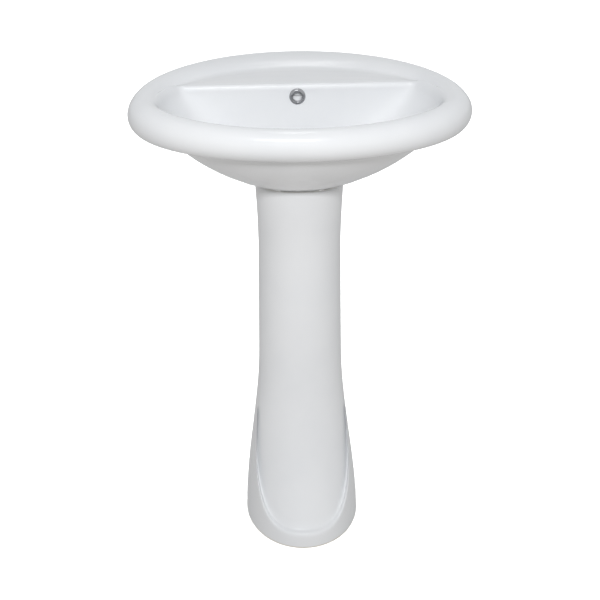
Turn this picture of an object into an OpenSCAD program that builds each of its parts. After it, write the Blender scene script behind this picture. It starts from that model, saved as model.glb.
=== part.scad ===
// Pedestal sink: a vitreous china basin with a rolled oval rim, standing on a hollow pedestal,
// with a press-to-close waste, a bottle trap and the waste pipe to the wall.
// The origin is on the floor in the middle of the part, +Z is up, and the wall is on the +Y side.

/* [Overall] */
// Height of the rim's crest above the floor
height = 820; // [680:1:1000]
// Width of the basin
basin_w = 560; // [460:1:680]
// Depth from the widest line of the rim to its front
basin_front = 183; // [170:1:220]
// Depth from the widest line of the rim to the wall
basin_rear = 274; // [255:1:330]

/* [Rim] */
// Height of the rolled rim
roll_h = 58; // [48:1:70]
// Distance from the rim's outer edge to its crest
roll_r = 27; // [22:1:32]
// Drop of the crest at the front
front_dip = 7; // [0:1:12]
// Width of the rim at the sides, from its outer edge to the bowl
rim_side = 52; // [44:1:62]
// Width of the rim at the front
rim_front = 48; // [40:1:58]
// Width of the rim at the rear, from the wall to the deck
rim_rear = 79; // [66:1:90]

/* [Deck] */
// Depth of the tap deck below the crest
deck_drop = 14; // [10:1:18]
// Distance from the widest line to the deck's front edge
deck_edge = 94; // [84:1:104]
// Thickness of the deck
deck_t = 14; // [11:1:17]
// Diameter of the tap hole, which stops short of the deck's top
tap_hole_d = 35; // [29:1:38]
// Skin left over the tap hole, to be knocked out
tap_skin = 3; // [2:0.5:4]

/* [Bowl] */
// Depth of the bowl below the crest
bowl_depth = 148; // [122:1:178]
// Depth of the dished underside below the bowl's bottom
under_drop = 34.5; // [28:0.5:40]
// Distance from the widest line back to the drain's axis
drain_back = 30.5; // [26:0.5:34]
// Diameter of the drain hole
drain_d = 45; // [43:0.5:47]
// Depth of the overflow hole's centre below the crest
overflow_drop = 34.5; // [32:0.5:40]
// Diameter of the overflow hole
overflow_d = 20; // [18:0.5:22]

/* [Wall fixing] */
// Distance between the two wall bolt holes
bolt_spacing = 150; // [120:1:160]
// Diameter of a wall bolt hole
bolt_hole_d = 14; // [10:0.5:16]
// Depth of the bolt holes below the crest
bolt_drop = 95; // [88:1:104]
// Thickness of the wall apron
apron_t = 18; // [14:1:24]

/* [Pedestal] */
// Width of the column at its waist
waist_w = 143; // [118:1:172]
// Width of the foot on the floor
foot_w = 208; // [186:1:250]
// Depth of the foot in front of its widest line
foot_front = 137; // [124:1:160]
// Height of the plinth's edge at the front
plinth_h = 29; // [24:1:40]
// Thickness of the china
china_t = 11; // [9:0.5:13]
// Gap between pedestal and basin, filled by the bedding
seat_gap = 2.4; // [1.8:0.1:4]
// Distance between the two floor screw holes
floor_spacing = 130; // [110:1:134]
// Diameter of a floor screw hole
floor_hole_d = 7; // [5:0.5:9]

/* [Waste] */
// Diameter of the waste's threaded body
waste_d = 41.6; // [34.6:0.1:42]
// Diameter of the waste's flange
flange_d = 63; // [58:0.5:66]
// Travel of the stopper
stopper_travel = 9; // [6:0.5:10]
// Diameter of the waste pipe
pipe_d = 32; // [30:0.5:36]
// Distance of the waste pipe's axis below the crest
pipe_drop = 318; // [310:1:350]
// Diameter of the trap's cup
cup_d = 62; // [58:1:66]

/* [Hidden] */

// places
wall_y = (basin_front + basin_rear) / 2;
wide_y = wall_y - basin_rear;
deck_z = height - deck_drop;
deck_y = wide_y + deck_edge;
tap_y = (deck_y + 6 + wall_y - rim_rear) / 2;
roll_z = height - roll_h;
bowl_z = height - bowl_depth;
drain_y = wide_y + drain_back;
drain_flat = 36;

// dished underside: half width of its top, centre and half depth of its oval, and its lowest point
dish_a = basin_w / 2 - roll_r - 36;
dish_oval_y = wide_y - 3;
dish_b = basin_front - 36;
dish_rear_b = basin_rear - rim_rear + 14;
dish_y = wide_y + 49;
dish_back = deck_y + 18;
dish_h = roll_z - bowl_z + under_drop;

// ---------- the basin's surface, as rings of points ----------

RING = 88;

function mix(a, b, w) = a + (b - a) * w;
function step(x) = let (c = min(max(x, 0), 1)) c * c * (3 - 2 * c);
// the smaller of two values, with the corner between them rounded over k
function soft_min(a, b, k) = (a + b - sqrt((a - b) * (a - b) + k * k)) / 2;

// a point of the rim's oval at angle t, set in from the outer edge by the given widths
function oval(t, side, front, rear) = [
    (basin_w / 2 - side) * cos(t),
    wide_y + (sin(t) < 0 ? basin_front - front : basin_rear - rear) * sin(t)
];

// how far a point of the rim belongs to the deck's side: 1 behind the bowl, 0 around it
function deck_share(t) = step((oval(t, rim_side, rim_front, rim_rear)[1] - deck_y + 16) / 30);
// how far a point belongs to the hollow under the deck
function hollow_share(t) = step((sin(t) - 0.12) / 0.3);

function crest_z(t) = height - (sin(t) < 0 ? front_dip * sin(t) * sin(t) : 0);
function roll_point(t, turn) = let (
    inset = roll_r * (1 - cos(turn)),
    half = (crest_z(t) - roll_z) / 2,
    p = oval(t, inset, inset, inset)
) [p[0], p[1], roll_z + half + half * sin(turn)];

// from the crest inwards and down to the deck, or to the bowl's edge
function slope_point(t, s) = let (
    inner = oval(t, rim_side - 10, rim_front - 9, rim_rear),
    crest = oval(t, roll_r, roll_r, roll_r),
    rear = step(sin(t) * 1.6),
    fall = mix(5, deck_drop, rear)
) [mix(crest[0], inner[0], s), mix(crest[1], inner[1], s), crest_z(t) - fall * pow(s, 2.1)];

// the bowl's D-shaped edge, grown outwards by g, with corners eased over k
function edge_xy(t, g, k) = let (p = oval(t, rim_side - g, rim_front - g, rim_rear + 8 - g))
    [p[0], soft_min(p[1], deck_y + g, k)];
function edge_point(t, g, deck_fall, rim_fall, k = 7) = let (p = edge_xy(t, g, k), w = deck_share(t))
    [p[0], p[1], mix(crest_z(t) - rim_fall, deck_z - deck_fall, w)];

// the bowl from its edge (v = 0) to the flat round the drain (v = 1); its corners ease on the way down
EDGE_FALL = [7, 19];
function corner_ease(v) = 7 + 65 * v;
function bowl_rho(v) = pow(1 - pow(v, 1.3), 1 / 1.7);
function bowl_point(t, v) = let (
    p = edge_point(t, 0, EDGE_FALL[0], EDGE_FALL[1], corner_ease(v)),
    r = bowl_rho(v)
) [mix(drain_flat * cos(t), p[0], r),
   mix(drain_y + drain_flat * sin(t), p[1], r),
   mix(p[2], bowl_z, v)];

// the dished underside from its top (u = 0) to its lowest point (u = 1)
function dish_rho(u) = pow(1 - pow(u, 1.25), 1 / 1.55);
function dish_edge(t, g) = let (b = sin(t) < 0 ? dish_b : dish_rear_b) [
    (dish_a + g) * cos(t),
    soft_min(dish_oval_y + (b + g) * sin(t), dish_back + g, 12)
];
function dish_point(t, u) = let (p = dish_edge(t, 0), r = dish_rho(u))
    [p[0] * r, mix(dish_y, p[1], r), roll_z - dish_h * u];

// how many times x, dy goes into the dish's oval of half depth half_b, from the lowest point outwards
function dish_reach(x, dy, half_b) = let (
    e = dish_y - dish_oval_y,
    a = x * x / dish_a / dish_a + dy * dy / half_b / half_b,
    b = 2 * dy * e / half_b / half_b,
    c = e * e / half_b / half_b - 1
) (-b + sqrt(b * b - 4 * a * c)) / (2 * a);

// height of the dished underside over the point x, y
function dish_height(x, y) = let (
    dy = y - dish_y,
    front = dish_reach(x, dy, dish_b),
    s = dish_y + dy * front < dish_oval_y ? front : dish_reach(x, dy, dish_rear_b),
    r = min(1, 1 / s)
) roll_z - dish_h * pow(1 - pow(r, 1.55), 1 / 1.25);

// under the rim: at the front and sides a ledge runs in to the dish, behind the bowl a hollow opens
function under_point(t, i) = let (
    under_z = deck_z - deck_t,
    rim = function (inset) oval(t, inset, inset, inset),
    front = [
        [rim(roll_r + 7)[0], rim(roll_r + 3)[1], roll_z + 1],
        concat(dish_edge(t, 8), roll_z + 2),
        concat(dish_edge(t, 3), roll_z + 1),
        concat(dish_edge(t, 1), roll_z - 1),
        dish_point(t, 0.018),
        dish_point(t, 0.028),
        dish_point(t, 0.042)
    ],
    rear = [
        concat(rim(roll_r + 8), roll_z + 1),
        concat(rim(roll_r + 13), roll_z + 12),
        concat(rim(roll_r + 17), under_z - 4),
        concat(rim(roll_r + 22), under_z),
        concat(dish_edge(t, 13), under_z),
        concat(dish_edge(t, 3), under_z - 4),
        concat(dish_edge(t, 0), under_z - 14)
    ]
) mix(front[i], rear[i], hollow_share(t));

ROLL_TURNS = [for (turn = [-90:22.5:90]) turn];
SLOPE = [0.3, 0.55, 0.8, 1];
// growth of the bowl's edge, its fall below the deck and its fall below the crest
EDGE = [[7, 0, 7.6], [4, 1, 11.1], [1.7, 3.5, 15], [0, EDGE_FALL[0], EDGE_FALL[1]]];
BOWL = [0.05, 0.13, 0.23, 0.35, 0.48, 0.61, 0.73, 0.84, 0.92, 0.97, 1];
DISH = [0.9, 0.8, 0.7, 0.6, 0.5, 0.4, 0.3, 0.2, 0.12, 0.07];
UNDER = [6, 5, 4, 3, 2, 1, 0];

function basin_ring(make) = [for (k = [0:RING - 1]) make(360 * k / RING)];
BASIN_RINGS = concat(
    [for (u = DISH) basin_ring(function (t) dish_point(t, u))],
    [for (i = UNDER) basin_ring(function (t) under_point(t, i))],
    [for (turn = ROLL_TURNS) basin_ring(function (t) roll_point(t, turn))],
    [for (s = SLOPE) basin_ring(function (t) slope_point(t, s))],
    [for (e = EDGE) basin_ring(function (t) edge_point(t, e[0], e[1], e[2]))],
    [for (v = BOWL) basin_ring(function (t) bowl_point(t, v))]
);

// a closed skin over stacked rings of n points, each pair of rings joined by triangles
module ring_solid(rings) {
    n = len(rings[0]);
    last = len(rings) - 1;
    sides = [for (j = [0:last - 1], k = [0:n - 1]) let (a = j * n + k, b = j * n + (k + 1) % n)
        each [[a, a + n, b], [b, a + n, b + n]]];
    bottom = [for (k = [0:n - 1]) k];
    top = [for (k = [n - 1:-1:0]) last * n + k];
    polyhedron(points = [for (r = rings) each r], faces = concat([bottom, top], sides));
}

// a straight round rod from a to b
module rod(a, b, r) {
    d = b - a;
    translate(a)
        rotate([0, acos(d[2] / norm(d)), atan2(d[1], d[0])])
            cylinder(r = r, h = norm(d), $fn = 48);
}

// ---------- overflow ----------

overflow_z = height - overflow_drop;
function back_wall_y(z) = let (
    top = deck_z - EDGE_FALL[0],
    v = (top - z) / (top - bowl_z)
) mix(drain_y + drain_flat, edge_xy(90, 0, corner_ease(v))[1], bowl_rho(v));
overflow_y = back_wall_y(overflow_z);
// the back wall leans back by this angle, and the overflow hole stands square to it
overflow_lean = atan((back_wall_y(overflow_z + 8) - back_wall_y(overflow_z - 8)) / 16);
ring_r = overflow_d / 2 + 3.8;
ring_bore = overflow_d / 2 - 2.6;
ring_seat = 0.8;
duct_r = 6;
duct_wall = 5;
// how much wider than the duct its rounded bends are
knuckle = 0.7;
DUCT = [
    [0, deck_y + 9, overflow_z],
    [0, deck_y + 6, bowl_z + 34],
    [0, deck_y - 5, bowl_z - 4],
    [0, drain_y + 14, bowl_z - 25]
];

module at_overflow() {
    translate([0, overflow_y, overflow_z])
        rotate([90 - overflow_lean, 0, 0])
            children();
}

// ---------- basin ----------

boss_z = bowl_z - 42;
boss_r = 33;
apron_half = bolt_spacing / 2 + 30;
apron_low = height - bolt_drop - 35;
bolt_z = height - bolt_drop;
pocket_z = deck_z - deck_t;
cheek_t = 18;

module apron() {
    corner = 25;
    intersection() {
        translate([0, 0, apron_low])
            linear_extrude(height - apron_low)
                difference() {
                    union() {
                        translate([-apron_half + corner, wall_y - 79])
                            square([2 * (apron_half - corner), 79]);
                        translate([-apron_half, wall_y - 79])
                            square([2 * apron_half, 79 - corner]);
                        for (side = [-1, 1])
                            translate([side * (apron_half - corner), wall_y - corner])
                                circle(r = corner, $fn = 64);
                    }
                    translate([-apron_half + cheek_t, wall_y - 90])
                        square([2 * (apron_half - cheek_t), 90 - apron_t]);
                }
        rotate([90, 0, 90])
            translate([0, 0, -apron_half - 1])
                linear_extrude(2 * apron_half + 2)
                    polygon([
                        [wall_y - 79, pocket_z + 3],
                        [wall_y - 29, pocket_z + 3],
                        [wall_y - 22, roll_z + 6],
                        [wall_y, roll_z + 3],
                        [wall_y, apron_low],
                        [wall_y - apron_t, apron_low],
                        [wall_y - 79, pocket_z - 22]
                    ]);
    }
}

module basin() {
    color("whitesmoke") difference() {
        union() {
            ring_solid(BASIN_RINGS);
            apron();
            for (i = [0:len(DUCT) - 2]) {
                rod(DUCT[i], DUCT[i + 1], duct_r + duct_wall);
                translate(DUCT[i + 1]) sphere(r = duct_r + duct_wall + knuckle, $fn = 32);
            }
            translate([0, drain_y, boss_z])
                cylinder(r = boss_r, h = bowl_z - boss_z - 6, $fn = 96);
        }
        // drain hole, and the recess for the flange
        translate([0, drain_y, boss_z - 1])
            cylinder(d = drain_d, h = bowl_z - boss_z + 20, $fn = 96);
        translate([0, drain_y, bowl_z - 4])
            cylinder(d = flange_d + 3, h = 24, $fn = 96);
        // overflow hole, its flat seat and the duct down to the drain
        at_overflow() translate([0, 0, -ring_seat]) cylinder(r = ring_r + 0.6, h = 12, $fn = 96);
        at_overflow() translate([0, 0, -9]) cylinder(d = overflow_d, h = 20, $fn = 64);
        for (i = [0:len(DUCT) - 2]) {
            rod(DUCT[i], DUCT[i + 1], duct_r);
            translate(DUCT[i + 1]) sphere(r = duct_r + knuckle, $fn = 32);
        }
        rod([0, overflow_y, overflow_z], DUCT[0], duct_r);
        translate(DUCT[0]) sphere(r = duct_r + knuckle, $fn = 32);
        // tap hole, open from below
        translate([0, tap_y, pocket_z - 20])
            cylinder(d = tap_hole_d, h = deck_z - tap_skin - pocket_z + 20, $fn = 96);
        // wall bolt holes
        for (side = [-1, 1])
            translate([side * bolt_spacing / 2, wall_y + 1, bolt_z])
                rotate([90, 0, 0])
                    cylinder(d = bolt_hole_d, h = apron_t + 2, $fn = 64);
    }
}

// ---------- pedestal ----------

foot_y = wide_y + 20;
column_y = dish_y;
top_ring_z = bowl_z - 32;
column_front = 74;
rear_y = column_y + 66;
PED_FRONT = 40;
PED_SIDE = 4;

// half width at height z, from the waist out to the foot and a little out to the basin
function ped_half(z) = let (
    flare = foot_w / 2 - waist_w / 2 - 8
) waist_w / 2 + 8 * max(0, 1 - z / 540) + flare * step(1 - z / 320)
    + 5 * pow(max(0, (z - top_ring_z + 140) / 140), 2);
function ped_centre(z) = mix(foot_y, column_y, step(z / 420));
// how far the surface stands in front of the centre line: of the plinth, and of the column
function plinth_reach(z) = ped_centre(z) - (foot_y - foot_front) - z * 0.09;
function column_reach(z) = let (
    nose = foot_y - foot_front + 13,
    waist = column_y - column_front,
    rise = min(max(z - plinth_h, 0) / 330, 1)
) ped_centre(z) - mix(waist - 5 * max(0, 1 - z / top_ring_z), nose, pow(1 - rise, 2.4));

// the plinth's edge: low at the front and sweeping up the sides
function edge_z(phi) = plinth_h + 120 * pow(min(abs(phi), 78) / 68, 3.4);

// the stations up the pedestal: share of the plinth's shape, and height relative to its edge
PLINTH = [0, 0.08, 0.45];
BAND = [[1, -9], [0.93, -4], [0.74, -1], [0.45, 0.6], [0.16, 2.4], [0, 8]];
COLUMN = [0.03, 0.07, 0.12, 0.18, 0.25, 0.33, 0.42, 0.52, 0.62, 0.72, 0.82, 0.9, 0.96, 1];

// a point of the section at height z: phi runs from -90 (left) through 0 (front) to 90, and
// beyond that the walls run straight back, drawn in a little, to the rear edges
function section_point(phi, z, share, inset) = let (
    half = ped_half(z) - inset,
    reach = mix(column_reach(z), plinth_reach(z), share) - inset,
    cy = ped_centre(z),
    back = min(max((abs(phi) - 90) / 10, 0), 1),
    draw_in = 6 * back * back
) abs(phi) <= 90
    ? [half * sin(phi), cy - reach * cos(phi)]
    : [sign(phi) * (half - draw_in), mix(cy, rear_y, back)];

SECTION = concat(
    [for (k = [0:PED_SIDE - 1]) -100 + 10 * k / PED_SIDE],
    [for (k = [0:PED_FRONT]) -90 + 180 * k / PED_FRONT],
    [for (k = [1:PED_SIDE]) 90 + 10 * k / PED_SIDE]
);

// the top follows the dished underside, but rises no higher than this behind the drain
seat_top_z = bowl_z - 8;
function seat_z(p, gap) = min(dish_height(p[0], p[1]), seat_top_z) - gap;

// one station: the outer points from left to right, then the inner points back again
function ped_station(share, low_z) = [
    for (inset = [0, china_t]) let (run = [for (phi = SECTION) let (
        z = low_z(phi),
        p = section_point(phi, z, share, inset)
    ) concat(p, z)])
    each (inset == 0 ? run : [for (i = [len(run) - 1:-1:0]) run[i]])
];
function column_station(g, gap) = [
    for (inset = [0, china_t]) let (run = [for (phi = SECTION) let (
        base = edge_z(phi) + 8,
        p = section_point(phi, mix(base, top_ring_z, g), 0, inset)
    ) concat(p, mix(base, seat_z(section_point(phi, top_ring_z, 0, inset), gap), g))])
    each (inset == 0 ? run : [for (i = [len(run) - 1:-1:0]) run[i]])
];

// a closed skin over stations whose points go out along one side of a wall and back along the other
module wall_solid(stations) {
    n = len(stations[0]);
    last = len(stations) - 1;
    sides = [for (j = [0:last - 1], k = [0:n - 1]) let (a = j * n + k, b = j * n + (k + 1) % n)
        each [[a, a + n, b], [b, a + n, b + n]]];
    // the cap's strips join each outer point to the inner point across the wall
    caps = [for (k = [0:n / 2 - 2]) let (a = k, b = k + 1, c = n - 2 - k, d = n - 1 - k)
        each [[a, b, c], [a, c, d], [last * n + a, last * n + c, last * n + b],
              [last * n + a, last * n + d, last * n + c]]];
    polyhedron(points = [for (s = stations) each s], faces = concat(sides, caps));
}

module pedestal() {
    stations = concat(
        [for (f = PLINTH) ped_station(1, function (phi) (edge_z(phi) - 9) * f)],
        [for (b = BAND) ped_station(b[0], function (phi) edge_z(phi) + b[1])],
        [for (g = COLUMN) column_station(g, seat_gap)]
    );
    lug = 26;
    lug_y = foot_y + 38;
    color("whitesmoke") difference() {
        union() {
            wall_solid(stations);
            // lugs inside the foot for the floor screws
            for (side = [-1, 1])
                translate([side * floor_spacing / 2, lug_y, 0]) {
                    cylinder(d = lug, h = 14, $fn = 64);
                    translate([side > 0 ? 0 : -foot_w / 2 + floor_spacing / 2 + 5, -lug / 2, 0])
                        cube([foot_w / 2 - floor_spacing / 2 - 5, lug, 14]);
                }
        }
        for (side = [-1, 1])
            translate([side * floor_spacing / 2, lug_y, -1])
                cylinder(d = floor_hole_d, h = 16, $fn = 48);
    }
}

// a strip of bedding between the pedestal's top edge and the basin
bedding_inset = 2.5;
module seat_bedding() {
    run = function (gap) [for (inset = [bedding_inset, china_t - bedding_inset]) let (
        line = [for (phi = SECTION) if (abs(phi) < 84) let (
            p = section_point(phi, top_ring_z, 0, inset)
        ) concat(p, seat_z(p, gap))]
    ) each (inset == bedding_inset ? line : [for (i = [len(line) - 1:-1:0]) line[i]])];
    color("gainsboro") wall_solid([run(seat_gap - 0.1), run(0.5)]);
}

// ---------- overflow ring ----------

module overflow_ring() {
    color("silver") at_overflow() difference() {
        rotate_extrude($fn = 96) difference() {
            union() {
                // the sleeve in the hole, the flange and its domed front
                translate([0, -8 - ring_seat]) square([overflow_d / 2 - 0.4, 8 + 0.5]);
                translate([0, -ring_seat]) square([ring_r, 1.2]);
                intersection() {
                    translate([ring_r - 4.6, 0.4 - ring_seat]) circle(r = 4.6, $fn = 64);
                    translate([0, 1.2 - ring_seat - 0.1]) square([ring_r, 5]);
                }
            }
            translate([-1, -20]) square([ring_bore + 0.1, 40]);
        }
        translate([0, 0, -30]) cylinder(r = ring_bore, h = 60, $fn = 64);
    }
}

// ---------- waste ----------

flange_t = 3;
seal_t = 1.6;
seat_z0 = bowl_z - 4;
flange_z = seat_z0 + seal_t;
body_low = boss_z - 46;
body_r = waste_d / 2;
bore_r = body_r - 2.6;
outlet_r = pipe_d / 2;
slot_z = boss_z + 17;

module on_drain() {
    translate([0, drain_y, 0]) children();
}

module waste_flange() {
    color("silver") on_drain() difference() {
        union() {
            rotate_extrude($fn = 96) polygon([
                [bore_r + 1, flange_z], [flange_d / 2 - 1.5, flange_z],
                [flange_d / 2, flange_z + 0.6], [flange_d / 2 - 0.6, flange_z + 1.6],
                [flange_d / 2 - 6, flange_z + flange_t], [flange_d / 2 - 8, flange_z + flange_t],
                [bore_r + 3, flange_z + 1], [bore_r + 1, flange_z + 0.6]
            ]);
            translate([0, 0, body_low]) cylinder(r = body_r, h = flange_z - body_low, $fn = 96);
        }
        translate([0, 0, body_low + 14]) cylinder(r = bore_r, h = 100, $fn = 96);
        // the outlet is narrower than the body
        translate([0, 0, body_low - 1]) cylinder(r = outlet_r - 2, h = 40, $fn = 96);
        // slots that let the overflow in
        for (turn = [0:90:270])
            rotate(turn + 90)
                translate([bore_r - 4, -7, slot_z - 6])
                    cube([12, 14, 12]);
    }
}

module flange_seal() {
    color("dimgray") on_drain() difference() {
        translate([0, 0, seat_z0]) cylinder(d = flange_d - 4, h = seal_t, $fn = 96);
        translate([0, 0, seat_z0 - 1]) cylinder(r = body_r + 0.15, h = 5, $fn = 96);
    }
}

module lower_seal() {
    color("dimgray") on_drain() difference() {
        rotate_extrude($fn = 96) polygon([
            [body_r - 2, boss_z - 9], [29, boss_z - 9], [29, boss_z - 3], [26, boss_z],
            [drain_d / 2 - 0.3, boss_z], [drain_d / 2 - 0.5, boss_z + 3], [body_r - 2, boss_z + 3]
        ]);
        translate([0, 0, boss_z - 20]) cylinder(r = body_r + 0.15, h = 40, $fn = 96);
    }
}

module waste_washer() {
    color("silver") on_drain() difference() {
        translate([0, 0, boss_z - 11]) cylinder(r = 29, h = 2, $fn = 96);
        translate([0, 0, boss_z - 12]) cylinder(r = body_r + 0.3, h = 4, $fn = 96);
    }
}

module waste_locknut() {
    color("silver") on_drain() difference() {
        union() {
            translate([0, 0, boss_z - 20]) cylinder(r = 30, h = 9, $fn = 6);
            translate([0, 0, boss_z - 13]) cylinder(r = 27.5, h = 2, $fn = 96);
        }
        translate([0, 0, boss_z - 21]) cylinder(r = body_r + 0.05, h = 12, $fn = 96);
    }
}

// ---------- stopper ----------

cap_z = flange_z + stopper_travel + 3;
cap_r = 17.4;
stem_r = 3;
barrel_r = 9;
barrel_low = body_low + 18;
barrel_top = flange_z - 20;

module stopper_cap() {
    color("silver") on_drain() difference() {
        rotate_extrude($fn = 96) polygon(concat(
            [[0, cap_z - 3], [cap_r - 1.6, cap_z - 3], [cap_r, cap_z - 1.4]],
            [for (a = [0:10:80]) [cap_r - 1.5 + 1.5 * cos(a), cap_z + 1.5 * sin(a)]],
            [[cap_r * 0.55, cap_z + 2.6], [0, cap_z + 3.2]]
        ));
        translate([0, 0, cap_z - 4]) cylinder(r = stem_r + 0.05, h = 4, $fn = 48);
    }
}

module stopper_seal() {
    color("dimgray") on_drain() difference() {
        translate([0, 0, cap_z - 5.4]) cylinder(r = cap_r - 1.8, h = 2.4, $fn = 96);
        translate([0, 0, cap_z - 6]) cylinder(r = stem_r + 0.1, h = 4, $fn = 48);
    }
}

spring_low = barrel_low + 2;
spring_top = barrel_top - 17;
module stopper_stem() {
    color("lightgray") on_drain() {
        translate([0, 0, spring_top])
            cylinder(r = stem_r, h = cap_z - spring_top, $fn = 48);
        translate([0, 0, spring_top]) cylinder(r = 6.6, h = 3, $fn = 64);
    }
}

module stopper_barrel() {
    color("gainsboro") on_drain() difference() {
        union() {
            translate([0, 0, barrel_low])
                cylinder(r = barrel_r, h = barrel_top - barrel_low, $fn = 64);
            // a three-armed spider holds the barrel in the waste body
            for (turn = [30, 150, 270])
                rotate(turn)
                    translate([0, -1.5, barrel_low])
                        cube([bore_r - 0.1, 3, 8]);
        }
        translate([0, 0, barrel_low + 2])
            cylinder(r = 7, h = barrel_top - barrel_low - 5, $fn = 64);
        translate([0, 0, barrel_low + 1]) cylinder(r = stem_r + 0.3, h = 100, $fn = 48);
    }
}

module stopper_spring() {
    wire = 0.9;
    mean_r = 5.2;
    turns = 6;
    steps = 14 * turns;
    rise = spring_top - spring_low - 2 * wire - 0.4;
    rings = [for (i = [0:steps]) let (turn = 360 * turns * i / steps) [
        for (a = [0:60:300]) let (r = mean_r + wire * cos(a))
            [r * cos(turn), r * sin(turn), spring_low + wire + 0.2 + rise * i / steps + wire * sin(a)]
    ]];
    color("silver") on_drain() ring_solid([for (i = [steps:-1:0]) rings[i]]);
}

// ---------- trap ----------

pipe_z = height - pipe_drop;
cup_r = cup_d / 2;
nut_z = body_low - 6;
trap_top = pipe_z + 30;
trap_low = pipe_z - outlet_r - 16;
inlet_low = trap_low - 18;
cup_low = trap_low - 48;
outlet_y = drain_y + 47;

module nut(r, h, hole) {
    difference() {
        union() {
            cylinder(r = r, h = h, $fn = 64);
            for (turn = [0:30:330])
                rotate(turn)
                    translate([r - 1.2, -2, 0])
                        cube([2.4, 4, h]);
        }
        translate([0, 0, -1]) cylinder(r = hole, h = h + 2, $fn = 64);
    }
}

// the ring under the waste body, clamped by the inlet nut
module inlet_washer() {
    color("dimgray") on_drain() difference() {
        translate([0, 0, body_low - 2]) cylinder(r = body_r - 0.4, h = 2, $fn = 64);
        translate([0, 0, body_low - 3]) cylinder(r = outlet_r - 2, h = 4, $fn = 64);
    }
}

module inlet_nut() {
    color("white") on_drain() difference() {
        translate([0, 0, nut_z - 2]) nut(body_r + 4, 22, outlet_r + 0.3);
        translate([0, 0, nut_z]) cylinder(r = body_r + 0.06, h = 30, $fn = 64);
    }
}

module trap_body() {
    color("white") on_drain() difference() {
        union() {
            // inlet tube with the collar that the nut pulls up
            translate([0, 0, inlet_low]) cylinder(r = outlet_r, h = body_low - 2 - inlet_low, $fn = 64);
            translate([0, 0, body_low - 5]) cylinder(r = body_r - 0.4, h = 3, $fn = 64);
            // the hood, with the thread for the cup
            difference() {
                union() {
                    translate([0, 0, trap_low]) cylinder(r = cup_r, h = trap_top - trap_low - 8, $fn = 96);
                    translate([0, 0, trap_top - 8]) cylinder(r1 = cup_r, r2 = outlet_r + 3, h = 8, $fn = 96);
                    translate([0, 0, pipe_z]) rotate([-90, 0, 0])
                        cylinder(r = outlet_r + 3, h = outlet_y - drain_y, $fn = 64);
                }
                translate([0, 0, trap_low - 1]) cylinder(r = cup_r - 3, h = trap_top - trap_low - 10, $fn = 96);
            }
        }
        translate([0, 0, inlet_low - 1]) cylinder(r = outlet_r - 2, h = 200, $fn = 64);
        translate([0, 18, pipe_z]) rotate([-90, 0, 0])
            cylinder(r = outlet_r + 0.1, h = 60, $fn = 64);
    }
}

module trap_cup_seal() {
    color("dimgray") on_drain() difference() {
        translate([0, 0, trap_low - 2.4]) cylinder(r = cup_r, h = 2.4, $fn = 96);
        translate([0, 0, trap_low - 4]) cylinder(r = cup_r - 4, h = 6, $fn = 96);
    }
}

module trap_cup() {
    color("white") on_drain() difference() {
        union() {
            translate([0, 0, trap_low - 14]) nut(cup_r + 3.5, 20, cup_r - 6);
            translate([0, 0, cup_low + 6]) cylinder(r = cup_r - 3, h = trap_low - 2.4 - cup_low - 6, $fn = 96);
            translate([0, 0, cup_low]) cylinder(r1 = cup_r - 11, r2 = cup_r - 3, h = 6, $fn = 96);
        }
        translate([0, 0, cup_low + 4]) cylinder(r = cup_r - 6, h = 100, $fn = 96);
        translate([0, 0, trap_low - 2.4]) cylinder(r = cup_r + 0.1, h = 40, $fn = 96);
    }
}

module along_pipe(y) {
    translate([0, y, pipe_z]) rotate([-90, 0, 0]) children();
}

module outlet_washer() {
    color("dimgray") along_pipe(outlet_y) difference() {
        cylinder(r = outlet_r + 3, h = 3, $fn = 64);
        translate([0, 0, -1]) cylinder(r = outlet_r + 0.1, h = 5, $fn = 64);
    }
}

module outlet_nut() {
    color("white") difference() {
        along_pipe(outlet_y - 14) nut(outlet_r + 6.5, 21, outlet_r + 0.3);
        along_pipe(outlet_y - 20) cylinder(r = outlet_r + 3.1, h = 23, $fn = 64);
    }
}

module waste_pipe() {
    start = drain_y + 24;
    color("white") along_pipe(start) difference() {
        cylinder(r = outlet_r, h = wall_y - start, $fn = 64);
        translate([0, 0, -1]) cylinder(r = outlet_r - 2, h = wall_y - start + 2, $fn = 64);
    }
}

module wall_escutcheon() {
    rose_t = 9;
    color("silver") along_pipe(wall_y - rose_t) rotate_extrude($fn = 96) polygon([
        [outlet_r + 0.2, 0], [outlet_r + 3, 0], [outlet_r + 6, 2], [outlet_r + 15, 5],
        [outlet_r + 19, rose_t], [outlet_r + 17.5, rose_t], [outlet_r + 14, 6.5],
        [outlet_r + 5, 3.5], [outlet_r + 2, 2], [outlet_r + 0.2, 2]
    ]);
}

basin();
pedestal();
seat_bedding();
overflow_ring();
waste_flange();
flange_seal();
lower_seal();
waste_washer();
waste_locknut();
stopper_cap();
stopper_seal();
stopper_stem();
stopper_barrel();
stopper_spring();
inlet_washer();
inlet_nut();
trap_body();
trap_cup_seal();
trap_cup();
outlet_washer();
outlet_nut();
waste_pipe();
wall_escutcheon();
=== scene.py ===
import math

import bmesh
import bpy
import numpy as np
from mathutils import Matrix, Vector


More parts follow.
